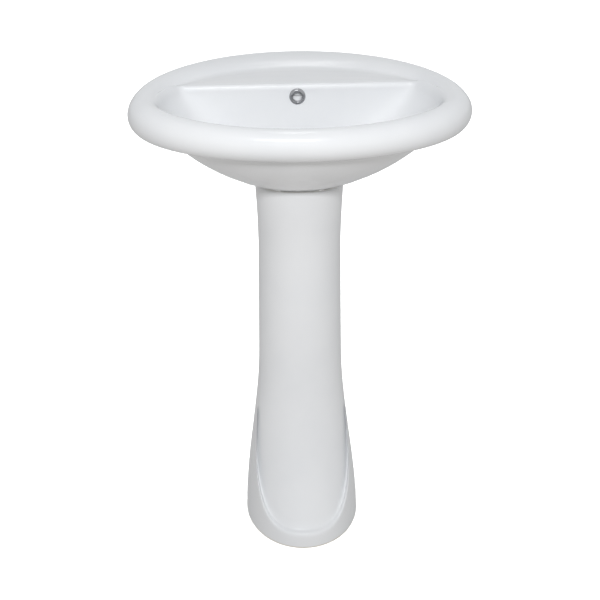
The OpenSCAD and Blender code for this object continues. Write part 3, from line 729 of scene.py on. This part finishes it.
def column_reach(z):
    nose = FOOT_Y - FOOT_FRONT + 13
    waist = COLUMN_Y - COLUMN_FRONT
    rise = np.minimum(np.maximum(z - PLINTH_H, 0) / 330, 1)
    return ped_centre(z) - mix(waist - 5 * np.maximum(0, 1 - z / TOP_RING_Z), nose, (1 - rise) ** 2.4)


def edge_z(phi):
    return PLINTH_H + 120 * (np.minimum(np.abs(phi), 78) / 68) ** 3.4


SIDE_STEPS = np.array([0.0, 0.25, 0.5, 0.75, 1.0])
PHI = np.concatenate([-90 - 10 * SIDE_STEPS[:0:-1], np.linspace(-90, 90, 141), 90 + 10 * SIDE_STEPS[1:]])


def section(phi, z, share, inset, rear_cut=3.0):
    half = ped_half(z) - inset
    reach = mix(column_reach(z), plinth_reach(z), share) - inset
    cy = ped_centre(z)
    back = np.clip((np.abs(phi) - 90) / 10, 0, 1)
    a = np.radians(phi)
    straight = np.abs(phi) > 90
    x = np.where(straight, np.sign(phi) * (half - 6 * back * back), half * np.sin(a))
    y = np.where(straight, mix(cy, REAR_Y - rear_cut, back), cy - reach * np.cos(a))
    return x, y


def seat_z(x, y, gap):
    return np.minimum(dish_z(x, y), SEAT_TOP_Z) - gap


def wall_run(low_z, share, inset, top=None):
    """Points of one wall face; low_z(phi) gives heights, or top = (g, gap) a station of the column."""
    if top is None:
        z = low_z(PHI)
        x, y = section(PHI, z, share, inset)
        return np.stack([x, y, z], axis=-1)
    g, gap = top
    base = edge_z(PHI) + 8
    x, y = section(PHI, mix(base, TOP_RING_Z, g), 0, inset)
    sx, sy = section(PHI, np.full_like(PHI, TOP_RING_Z), 0, inset)
    z = mix(base, seat_z(sx, sy, gap), g)
    return np.stack([x, y, z], axis=-1)


def close_section(outer, inner):
    """Joins the two faces of a wall round its rear edges, with the 3 mm corners rounded."""
    def corner(a, b):
        out = a[-1].copy()
        inn = b[-1].copy()
        sign = np.sign(out[0])
        points = []
        for turn in np.radians([25, 50, 75, 90]):
            points.append([out[0] - sign * 3 * (1 - math.cos(turn)), out[1] + 3 * math.sin(turn), out[2]])
        for turn in np.radians([90, 75, 50, 25]):
            points.append([inn[0] + sign * 3 * (1 - math.cos(turn)), inn[1] + 3 * math.sin(turn), inn[2]])
        return points
    right = corner(outer, inner)
    left = corner(outer[::-1], inner[::-1])
    return np.concatenate([outer, right, inner[::-1], left[::-1]])


def ped_stations():
    plan = [(1, (lambda p, f=f: (edge_z(p) - 9) * f), None) for f in (0, 0.04, 0.2, 0.45, 0.75)]
    plan += [(share, (lambda p, b=b: edge_z(p) + b), None) for share, b in
             ((1, -9), (0.93, -4), (0.74, -1), (0.45, 0.6), (0.16, 2.4), (0, 8))]
    plan += [(0, None, (g, SEAT_GAP)) for g in
             (0.03, 0.07, 0.12, 0.18, 0.25, 0.33, 0.42, 0.52, 0.62, 0.72, 0.82, 0.9, 0.96, 1)]
    return plan


def build_pedestal():
    outer = np.array([wall_run(z, share, 0, top) for share, z, top in ped_stations()])
    inner = np.array([wall_run(z, share, CHINA_T, top) for share, z, top in ped_stations()])
    outer, inner = refine(outer, 3), refine(inner, 3)
    rings = np.array([close_section(o, i) for o, i in zip(outer, inner)])

    def shrunk(ring_points, amount, rise):
        n = len(ring_points)
        ahead = np.roll(ring_points, -1, 0) - np.roll(ring_points, 1, 0)
        normal = np.stack([-ahead[:, 1], ahead[:, 0], np.zeros(n)], axis=-1)
        normal /= np.maximum(np.linalg.norm(normal, axis=1), 1e-6)[:, None]
        out = ring_points + normal * amount
        out[:, 2] += rise
        return out

    # rounded bottom and top edges: the end rings shrink towards the wall's middle
    rings[:, :, 2] = np.maximum(rings[:, :, 2], 0)
    bottom = [shrunk(rings[0], 1.6, 0), shrunk(rings[0], 0.5, 0.35)]
    first = rings[0].copy()
    first[:, 2] += 1.4
    top = [shrunk(rings[-1], 0.5, -0.4), shrunk(rings[-1], 1.6, 0)]
    last = rings[-1].copy()
    last[:, 2] -= 1.6
    body = np.array(bottom + [first] + list(rings[1:-1]) + [last] + top)
    bm = bmesh.new()
    verts = add_rings(bm, body)
    # end caps: strips across the wall
    pairs = len(PHI)
    for ends in (verts[0], verts[-1]):
        outer_line = ends[:pairs]
        inner_line = ends[pairs + 8:2 * pairs + 8][::-1]
        for k in range(pairs - 1):
            bm.faces.new((outer_line[k], outer_line[k + 1], inner_line[k + 1], inner_line[k]))
        bm.faces.new(ends[pairs - 1:pairs + 9])
        bm.faces.new([ends[0]] + ends[:2 * pairs + 7:-1])
    pedestal = as_object("pedestal_china", bm, CHINA, 50)
    finish_piece(pedestal, STATIC, "china", "pedestal")
    # lugs for the floor screws
    lug_y = FOOT_Y + 38
    for side in (-1, 1):
        outline = []
        for a in np.linspace(math.pi / 2, 3 * math.pi / 2, 25):
            outline.append((side * (FLOOR_SPACING / 2 + 13 * math.cos(a)), lug_y + 13 * math.sin(a)))
        far = FOOT_W / 2 - 5
        outline += [(side * far, lug_y - 13), (side * far, lug_y + 13)]
        rings = []
        for inset, z in ((1.2, 0), (0, 1.2), (0, 12.2), (0.5, 13.4), (1.8, 14)):
            cx, cy = side * (FLOOR_SPACING / 2 + 8), lug_y
            wide, deep = 1 - inset / 20, 1 - inset / 13
            rings.append([(cx + (x - cx) * wide, cy + (y - cy) * deep, z) for x, y in outline])
        name = f"floor_lug_{'left' if side < 0 else 'right'}"
        lug = skin_piece(name, rings, CHINA, 50)
        place = lambda p, s=side: p + np.array([s * FLOOR_SPACING / 2, lug_y, 0.0])
        r = FLOOR_HOLE_D / 2
        carve(lug, tube_cutter([(r, -2), (r, 16)], place, 48))
        finish_piece(lug, STATIC, "china", "pedestal")


def build_bedding():
    """The strip of bedding, bulging a little from the seam."""
    phi = np.linspace(-83, 83, 181)
    half = lambda inset, gap: (lambda x, y: np.stack([x, y, seat_z(x, y, gap)], axis=-1))(
        *section(phi, np.full_like(phi, TOP_RING_Z), 0, inset))
    loop = [(0.9, 2.35), (0.45, 2.0), (0.3, 1.4), (0.45, 0.8), (0.9, 0.3), (8.4, 0.3), (8.6, 1.4), (8.4, 2.35)]
    lines = np.array([half(inset, gap) for inset, gap in loop])
    rings = np.transpose(lines, (1, 0, 2))
    strip = skin_piece("seat_bedding_strip", rings, BEDDING, 50)
    finish_piece(strip, STATIC, "bedding", "seat_bedding")


# ---------- waste, stopper, trap and pipe ----------

PIPE_Z = HEIGHT - PIPE_DROP
SEAT_Z = BOWL_Z - 4
FLANGE_Z = SEAT_Z + 1.6
BODY_LOW = BOSS_Z - 46
BODY_R = WASTE_D / 2
BORE_R = BODY_R - 2.6
OUTLET_R = PIPE_D / 2
CAP_Z = FLANGE_Z + TRAVEL + 3
CAP_R = 17.4
STEM_R = 3.0
BARREL_R = 9.0
BARREL_LOW = BODY_LOW + 18
BARREL_TOP = FLANGE_Z - 20
SPRING_LOW = BARREL_LOW + 2
SPRING_TOP = BARREL_TOP - 17
TRAP_TOP = PIPE_Z + 30
TRAP_LOW = PIPE_Z - OUTLET_R - 16
INLET_LOW = TRAP_LOW - 18
CUP_LOW = TRAP_LOW - 48
CUP_R = CUP_D / 2
OUTLET_Y = DRAIN_Y + 47


def block(inner, outer, low, high):
    return [(inner, low), (outer, low), (outer, high), (inner, high)]


def offset(r, z, points):
    """Profile points measured from the radius r and the height z."""
    return [(r + out, z + up) for out, up in points]


def turned(name, profile, material, slot, node, place=on_drain, body=STATIC,
           radius=0.4, segments=128, radial=None, angle=32):
    """A piece turned from a closed profile of (r, z), with softened corners."""
    rings = place(turn_points(rounded(profile, radius), segments, radial))
    return finish_piece(skin_piece(name, rings, material, angle, loop=True), body, slot, node)


def solid_turned(name, profile, material, slot, node, body, radius, segments):
    """A piece turned about the drain's axis from an open profile that starts and ends near it."""
    soft = rounded([(0.0, profile[0][1])] + profile + [(0.0, profile[-1][1])], radius)
    soft = [(max(r, 0.05), z) for r, z in soft if r > 0.02]
    rings = on_drain(turn_points(soft, segments))
    return finish_piece(skin_piece(name, rings, material, 32), body, slot, node)


def thread(low, high, least, pitch, depth):
    """A radius rule that cuts a helical thread into the outside between two heights."""
    def rule(a, r, z):
        if r < least or z < low or z > high:
            return r
        ease = min(1.0, (z - low) / pitch, (high - z) / pitch)
        return r - depth * ease * (0.5 + 0.5 * math.cos(2 * math.pi * (z / pitch - a / (2 * math.pi))))
    return rule


def ribs(count, least, width, height):
    """A radius rule for round-topped grip ribs."""
    def rule(a, r, z):
        if r < least:
            return r
        off = abs((a * count / (2 * math.pi) + 0.5) % 1.0 - 0.5) * 2 * math.pi * r / count
        return r + height * 0.5 * (1 + math.cos(math.pi * min(off / (width * 0.72), 1.0)))
    return rule


def dense(profile, edge_r, spacing):
    """Adds points along the profile's upright runs at one radius, for a thread to be cut there."""
    out = []
    n = len(profile)
    for i in range(n):
        a, b = profile[i], profile[(i + 1) % n]
        out.append(a)
        if abs(a[0] - b[0]) < 1e-6 and abs(a[0] - edge_r) < 1e-6:
            count = int(abs(b[1] - a[1]) / spacing)
            out += [(a[0], a[1] + (b[1] - a[1]) * k / count) for k in range(1, count)]
    return out


def bar_rings(outs, angle, across, up, z, bend, count):
    """Outlines of a soft-cornered bar that stands out from the drain's axis, at the distances outs."""
    c, s = math.cos(angle), math.sin(angle)
    rings = []
    for out in outs:
        outline = []
        for k in range(count):
            a = 2 * math.pi * k / count
            side = across * np.sign(math.cos(a)) * abs(math.cos(a)) ** bend[0]
            rise = up * np.sign(math.sin(a)) * abs(math.sin(a)) ** bend[1]
            outline.append((out * c - side * s, DRAIN_Y + out * s + side * c, z + rise))
        rings.append(outline)
    return rings


def build_overflow_ring():
    dome = [(13.8, -0.8), (13.8, 0.2), (13.5, 1.2), (12.9, 2.3), (12.0, 3.3), (10.9, 4.0), (9.8, 4.15), (8.8, 3.7),
            (8.0, 2.8), (7.55, 1.6), (7.4, 0.2), (7.4, -8.8), (9.6, -8.8), (9.6, -0.8)]
    turned("overflow_ring_chrome", dome, OVERFLOW_CHROME, "chrome", "overflow_ring", at_overflow, radius=0.25,
            segments=160, angle=50)


def build_waste():
    loop = [(OUTLET_R - 2, BODY_LOW), (OUTLET_R - 2, BODY_LOW + 14), (BORE_R, BODY_LOW + 14)]
    loop += offset(BORE_R, FLANGE_Z, [(0, -0.2), (1, 0.6), (3, 1)])
    loop += offset(FLANGE_D / 2, FLANGE_Z, [(-8, 3), (-6, 3), (-0.6, 1.6), (0, 0.7), (-1.5, 0)])
    loop += [(BODY_R, FLANGE_Z), (BODY_R, BODY_LOW)]
    soft = dense(rounded(loop, 0.35), BODY_R, 0.5)
    rule = thread(BODY_LOW + 1, BOSS_Z + 3, BODY_R - 0.05, 2.0, 0.55)
    flange = skin_piece("waste_body_chrome", on_drain(turn_points(soft, 128, rule)), CHROME, 32, loop=True)
    # four ports that let the overflow's water into the waste
    for quarter in range(4):
        port = bar_rings((BORE_R - 4, BORE_R + 8), quarter * math.pi / 2, 7, 6, BOSS_Z + 17, (0.4, 0.4), 32)
        bm = bmesh.new()
        add_rings(bm, port, capped=True)
        carve(flange, bm)
    finish_piece(flange, STATIC, "chrome", "waste_flange")
    turned("flange_seal_rubber", block(BODY_R + 0.15, FLANGE_D / 2 - 2, SEAT_Z, FLANGE_Z), RUBBER, "rubber",
            "flange_seal", radius=0.5)
    seal = offset(0, BOSS_Z, [(BODY_R + 0.15, -9), (29, -9), (29, -3), (26, 0), (22.2, 0), (22, 3), (BODY_R + 0.15, 3)])
    turned("lower_seal_rubber", seal, RUBBER, "rubber", "lower_seal", radius=0.9)
    turned("waste_washer_steel", block(BODY_R + 0.3, 29, BOSS_Z - 11, BOSS_Z - 9), STEEL, "steel", "waste_washer",
            radius=0.3)
    nut_low, nut_top, flat_r, corner_r = BOSS_Z - 20, BOSS_Z - 11, 25.98, 30

    def hexagon(a, r, z):
        if r < 25:
            return r
        flat = flat_r / math.cos((a % (math.pi / 3)) - math.pi / 6)
        bevel = corner_r - 2.2 * max(0.0, 1 - min(z - nut_low, nut_top - z) / 1.6) ** 1.5
        return min(flat, bevel)
    wall = [(flat_r, nut_low + k * 9 / 18) for k in range(19)]
    nut = [(BODY_R + 0.05, nut_top), (BODY_R + 0.6, nut_low)] + wall + [(25.2, nut_top)]
    locknut = skin_piece("waste_locknut_brass", on_drain(turn_points(nut, 180, hexagon)), BRASS, 24, loop=True)
    finish_piece(locknut, STATIC, "brass", "waste_locknut")


def build_stopper():
    low = CAP_Z - 3
    dome = [(STEM_R + 0.1, low)] + offset(CAP_R, low, [(-1.6, 0), (-0.2, 1.3), (0, 2.0), (0, 3.4), (-0.6, 4.3)])
    dome += [(CAP_R * math.cos(a), CAP_Z + 1.3 + 1.9 * math.sin(a)) for a in np.linspace(0.32, 1.45, 16)]
    soft = rounded([(0.0, low)] + dome + [(0.0, CAP_Z + 3.2)], 0.3)
    soft = [(max(r, 0.05), z) for r, z in soft if r > 0.02]
    cap = skin_piece("stopper_cap_chrome", on_drain(turn_points(soft, 160)), CHROME, 32)
    finish_piece(cap, MOVING, "chrome", "stopper_cap")
    seal = offset(0, CAP_Z, [(STEM_R + 0.1, -5.4), (CAP_R - 2.6, -5.4), (CAP_R - 1.8, -4.4), (CAP_R - 1.8, -3),
            (STEM_R + 0.1, -3)])
    turned("stopper_seal_rubber", seal, RUBBER, "rubber", "stopper_seal", body=MOVING)
    stem = [(6.6, SPRING_TOP), (6.6, SPRING_TOP + 3), (STEM_R, SPRING_TOP + 3)]
    stem += offset(STEM_R, CAP_Z, [(0, -12), (-0.5, -11.5), (-0.5, -10), (0, -9.5), (0, -1)])
    solid_turned("stopper_stem_steel", stem, STEEL, "steel", "stopper_stem", body=MOVING, radius=0.3, segments=64)
    bore = STEM_R + 0.3
    barrel = [(bore, BARREL_LOW), (BARREL_R, BARREL_LOW)]
    barrel += offset(BARREL_R, BARREL_TOP, [(0, -6), (-0.5, -5.5), (-0.5, 0)])
    barrel += [(bore, BARREL_TOP), (bore, BARREL_TOP - 3), (7, BARREL_TOP - 3), (7, BARREL_LOW + 2),
            (bore, BARREL_LOW + 2)]
    turned("stopper_barrel_plastic", barrel, GREY, "grey_plastic", "stopper_barrel", segments=96)
    for turn in (30, 150, 270):
        outs = np.linspace(BARREL_R - 1.5, BORE_R - 0.1, 7)
        rings = bar_rings(outs, math.radians(turn), 1.5, 4, BARREL_LOW + 4, (0.5, 0.35), 24)
        arm = skin_piece(f"barrel_arm_{turn}", rings, GREY)
        finish_piece(arm, STATIC, "grey_plastic", "stopper_barrel")
    wire, mean_r, turns = 0.9, 5.2, 6
    steps = 40 * turns
    rise = SPRING_TOP - SPRING_LOW - 2 * wire - 0.4
    rings = []
    for i in range(steps + 1):
        a = 2 * math.pi * turns * i / steps
        z = SPRING_LOW + wire + 0.2 + rise * i / steps
        tube = [math.radians(15 + 30 * k) for k in range(12)]
        outs = [(mean_r + wire * math.cos(b), z + wire * math.sin(b)) for b in tube]
        rings.append([(r * math.cos(a), DRAIN_Y + r * math.sin(a), height) for r, height in outs])
    spring = skin_piece("stopper_spring_steel", rings, STEEL, 50)
    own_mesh(spring)
    finish_piece(spring, STATIC, "steel", "stopper_spring")


def build_trap():
    nut_z = BODY_LOW - 6
    turned("inlet_washer_rubber", block(OUTLET_R - 2, BODY_R - 0.4, BODY_LOW - 2, BODY_LOW), RUBBER, "rubber",
            "inlet_washer", radius=0.4)
    nut = offset(BODY_R, nut_z, [(2.6, -2), (3.9, -0.8), (3.9, 17.6), (4.0, 18.2), (4.0, 20), (0.06, 20), (0.06, 0)])
    turned("inlet_nut_plastic", [(OUTLET_R + 0.3, nut_z - 2)] + nut + [(OUTLET_R + 0.3, nut_z)], WHITE,
            "white_plastic", "inlet_nut", radius=0.6, segments=240, radial=ribs(12, BODY_R + 3.2, 4.0, 1.15))
    turned("trap_inlet_plastic", [(OUTLET_R - 2, INLET_LOW), (OUTLET_R, INLET_LOW), (OUTLET_R, BODY_LOW - 5),
            (BODY_R - 0.4, BODY_LOW - 5), (BODY_R - 0.4, BODY_LOW - 2), (OUTLET_R - 2, BODY_LOW - 2)], WHITE,
            "white_plastic", "trap_body", radius=0.5)
    shell = offset(CUP_R, TRAP_LOW, [(-3, 0), (0, 0), (0, 16), (-0.4, 17)])
    shell += offset(CUP_R, TRAP_TOP, [(-0.4, -12), (-4, -5)])
    shell += offset(OUTLET_R, TRAP_TOP, [(4, -1.5), (2.4, 0), (-0.5, 0), (-0.5, -8.8)])
    hood = rounded(shell + [(CUP_R - 3, TRAP_TOP - 11)], 1.2)
    cup_thread = thread(TRAP_LOW + 0.5, TRAP_LOW + 15, CUP_R - 0.05, 2.5, 0.7)
    rings = on_drain(turn_points(dense(hood, CUP_R, 0.6), 128, cup_thread))
    finish_piece(skin_piece("trap_hood_plastic", rings, WHITE, loop=True), STATIC, "white_plastic", "trap_body")
    spigot = rounded(block(OUTLET_R + 0.1, OUTLET_R + 3, 20, 47), 0.5)
    outlet_thread = thread(33, 46.5, OUTLET_R + 2.9, 2.0, 0.5)
    rings = along_pipe(turn_points(dense(spigot, OUTLET_R + 3, 0.5), 128, outlet_thread), DRAIN_Y)
    finish_piece(skin_piece("trap_outlet_plastic", rings, WHITE, loop=True), STATIC, "white_plastic", "trap_body")
    turned("trap_cup_seal_rubber", block(CUP_R - 4, CUP_R, TRAP_LOW - 2.4, TRAP_LOW), RUBBER, "rubber",
            "trap_cup_seal", radius=0.5)
    cup = offset(0, CUP_LOW, [(1.0, 4), (1.0, 1.2), (6, 1.2), (7, 0)])
    cup += offset(CUP_R, CUP_LOW, [(-12, 0), (-8, 1.6), (-3.6, 5), (-3, 9)])
    cup += offset(CUP_R, TRAP_LOW, [(-3, -14), (-3, -2.4), (-6, -2.4)])
    cup += offset(CUP_R, CUP_LOW, [(-6, 8), (-10, 4)])
    turned("trap_cup_plastic", cup, WHITE, "white_plastic", "trap_cup", radius=1.2, segments=160)
    nut = offset(CUP_R, TRAP_LOW, [(-3.2, -14), (2, -14), (3.4, -12.6), (3.4, 3.6), (3.5, 4.2), (3.5, 6), (0.1, 6),
            (0.1, -2.4), (-3.2, -2.4)])
    turned("trap_cup_nut_plastic", nut, WHITE, "white_plastic", "trap_cup", radius=0.7, segments=256,
            radial=ribs(16, CUP_R + 2.6, 4.0, 1.15))
    at_outlet = lambda rings: along_pipe(rings, OUTLET_Y)
    turned("outlet_washer_rubber", block(OUTLET_R + 0.1, OUTLET_R + 3, 0, 3), RUBBER, "rubber", "outlet_washer",
            at_outlet, radius=0.5)
    nut = offset(OUTLET_R, 0, [(3.1, -14), (6.5, -14), (6.5, -12.2), (6.4, -11.6), (6.4, 5.4), (5.2, 7), (0.3, 7),
            (0.3, 3), (3.1, 3)])
    turned("outlet_nut_plastic", nut, WHITE, "white_plastic", "outlet_nut", at_outlet, radius=0.6, segments=240,
            radial=ribs(12, OUTLET_R + 5.7, 4.0, 1.15))
    start = DRAIN_Y + 24
    end = WALL_Y - start
    pipe = offset(OUTLET_R, 0, [(-2, 0), (-0.6, 0), (0, 0.8), (0, end), (-2, end)])
    turned("waste_pipe_plastic", pipe, WHITE, "white_plastic", "waste_pipe", lambda rings: along_pipe(rings, start),
            radius=0.3)
    rose = offset(OUTLET_R, 0, [(0.2, 0), (3, 0), (6, 2), (10, 3.3), (15, 5), (17.8, 6.8), (19, 9), (17.5, 9),
            (14, 6.5), (5, 3.5), (2, 2), (0.2, 2)])
    at_wall = lambda rings: along_pipe(rings, WALL_Y - 9)
    turned("wall_rose_chrome", rose, CHROME, "chrome", "wall_escutcheon", at_wall, radius=0.8, segments=160, angle=50)


build_overflow_ring()
build_waste()
build_stopper()
build_trap()
build_basin()
build_pedestal()
build_bedding()

# ---------- floor, light ----------

# strengths of the surrounding light, of what the glaze mirrors, and of the lamps in watts
WORLD = {"base": 0.12, "back": 0.66, "left": 0.25, "right": 0.52, "top": 0.12, "below": 0.68}
SHEEN = {"room": 0.9, "ground": 0.6, "glow": 0.9, "edge": 0.93}
LAMPS = {"key": 63.0, "high": 14.0, "strips": 1.1, "floor": 900.0}
PALE = (0.985, 0.99, 1.0)


def build_floor():
    bm = bmesh.new()
    xs = np.linspace(-9000, 9000, 13)
    rings = [[(x, y, 0.0) for x in xs] for y in np.linspace(-6000, 14000, 14)]
    add_rings(bm, rings, around=False)
    floor = as_object("floor", bm, floor_material())
    # the light that comes up from below is the world's lower half, an even warm grey
    floor.visible_diffuse = False
    floor.visible_glossy = False
    return floor


def add_light(name, place, target, size, size_y, power, color=(1, 1, 1), only=None, shine=True):
    data = bpy.data.lights.new(name, "AREA")
    data.shape = "RECTANGLE"
    data.size, data.size_y = size, size_y
    data.energy = power
    data.color = color
    light = bpy.data.objects.new(name, data)
    bpy.context.scene.collection.objects.link(light)
    light.location = place
    light.visible_glossy = shine
    light.rotation_euler = (Vector(target) - Vector(place)).to_track_quat("-Z", "Y").to_euler()
    if only is not None:
        lit = bpy.data.collections.new(name + "_lit")
        lit.objects.link(only)
        light.light_linking.receiver_collection = lit
    return light


def build_world():
    """An even studio, with its own brightness overhead, behind, to the sides and below."""
    world = bpy.data.worlds.new("world")
    bpy.context.scene.world = world
    world.use_nodes = True
    tree = world.node_tree
    lit = tree.nodes["Background"]
    place = tree.nodes.new("ShaderNodeTexCoord")
    split = tree.nodes.new("ShaderNodeSeparateXYZ")
    tree.links.new(place.outputs["Generated"], split.inputs["Vector"])

    def part(operation, first, second):
        node = tree.nodes.new("ShaderNodeMath")
        node.operation = operation
        for i, value in enumerate((first, second)):
            if isinstance(value, (int, float)):
                node.inputs[i].default_value = value
            else:
                tree.links.new(value, node.inputs[i])
        return node.outputs["Value"]

    above = part("GREATER_THAN", split.outputs["Z"], 0.0)
    total = part("MULTIPLY", above, WORLD["base"])
    for axis, sign, share in (("Y", 1.0, "back"), ("X", -1.0, "left"), ("X", 1.0, "right"), ("Z", 1.0, "top")):
        towards = part("MAXIMUM", part("MULTIPLY", split.outputs[axis], sign), 0.0)
        lobe = part("MULTIPLY", part("MULTIPLY", towards, towards), WORLD[share])
        total = part("ADD", total, part("MULTIPLY", lobe, above))
    below = part("MULTIPLY", part("SUBTRACT", 1.0, above), WORLD["below"])
    mixed = tree.nodes.new("ShaderNodeMix")
    mixed.data_type = "RGBA"
    mixed.inputs["A"].default_value = (1.0, 0.975, 0.945, 1.0)
    mixed.inputs["B"].default_value = (0.975, 0.99, 1.0, 1.0)
    tree.links.new(above, mixed.inputs["Factor"])
    tree.links.new(mixed.outputs["Result"], lit.inputs["Color"])
    tree.links.new(part("ADD", total, below), lit.inputs["Strength"])
    # what the glaze mirrors: a pale room with one soft glow in front
    facing = tree.nodes.new("ShaderNodeVectorMath")
    facing.operation = "DOT_PRODUCT"
    tree.links.new(place.outputs["Generated"], facing.inputs[0])
    facing.inputs[1].default_value = Vector((-0.08, -0.86, 0.5)).normalized()
    past_edge = part("SUBTRACT", facing.outputs["Value"], SHEEN["edge"])
    near = part("MAXIMUM", part("DIVIDE", past_edge, 1.0 - SHEEN["edge"]), 0.0)
    glow = part("MULTIPLY", part("MULTIPLY", near, near), SHEEN["glow"])
    room = part("ADD", part("MULTIPLY", above, SHEEN["room"] - SHEEN["ground"]), SHEEN["ground"])
    mirrored = tree.nodes.new("ShaderNodeBackground")
    mirrored.inputs["Color"].default_value = (0.975, 0.985, 1.0, 1.0)
    tree.links.new(part("ADD", room, glow), mirrored.inputs["Strength"])
    seen = tree.nodes.new("ShaderNodeBackground")
    seen.inputs["Color"].default_value = (1.0, 1.0, 1.0, 1.0)
    path = tree.nodes.new("ShaderNodeLightPath")
    polish = tree.nodes.new("ShaderNodeMixShader")
    tree.links.new(path.outputs["Is Glossy Ray"], polish.inputs["Fac"])
    tree.links.new(lit.outputs["Background"], polish.inputs[1])
    tree.links.new(mirrored.outputs["Background"], polish.inputs[2])
    choose = tree.nodes.new("ShaderNodeMixShader")
    tree.links.new(path.outputs["Is Camera Ray"], choose.inputs["Fac"])
    tree.links.new(polish.outputs["Shader"], choose.inputs[1])
    tree.links.new(seen.outputs["Background"], choose.inputs[2])
    tree.links.new(choose.outputs["Shader"], tree.nodes["World Output"].inputs["Surface"])


FLOOR = build_floor()
build_world()
add_light("key", (-0.25, -2.75, 2.42), (0, 0, 0.6), 0.5, 0.4, LAMPS["key"], PALE, shine=False)
add_light("high", (-0.2, -1.7, 3.1), (0, 0, 0.6), 1.2, 0.8, LAMPS["high"], PALE)
add_light("strip_left", (-0.022, 1.0, 3.0), (0, 0.1, 0.8), 0.1, 0.9, LAMPS["strips"])
add_light("strip_right", (0.122, 1.0, 3.0), (0, 0.1, 0.8), 0.12, 0.9, LAMPS["strips"])
add_light("floor_wash", (0.0, 1.5, 5.0), (0, 1.5, 0), 9.0, 9.0, LAMPS["floor"], only=FLOOR)
bpy.context.scene.view_settings.view_transform = "Standard"
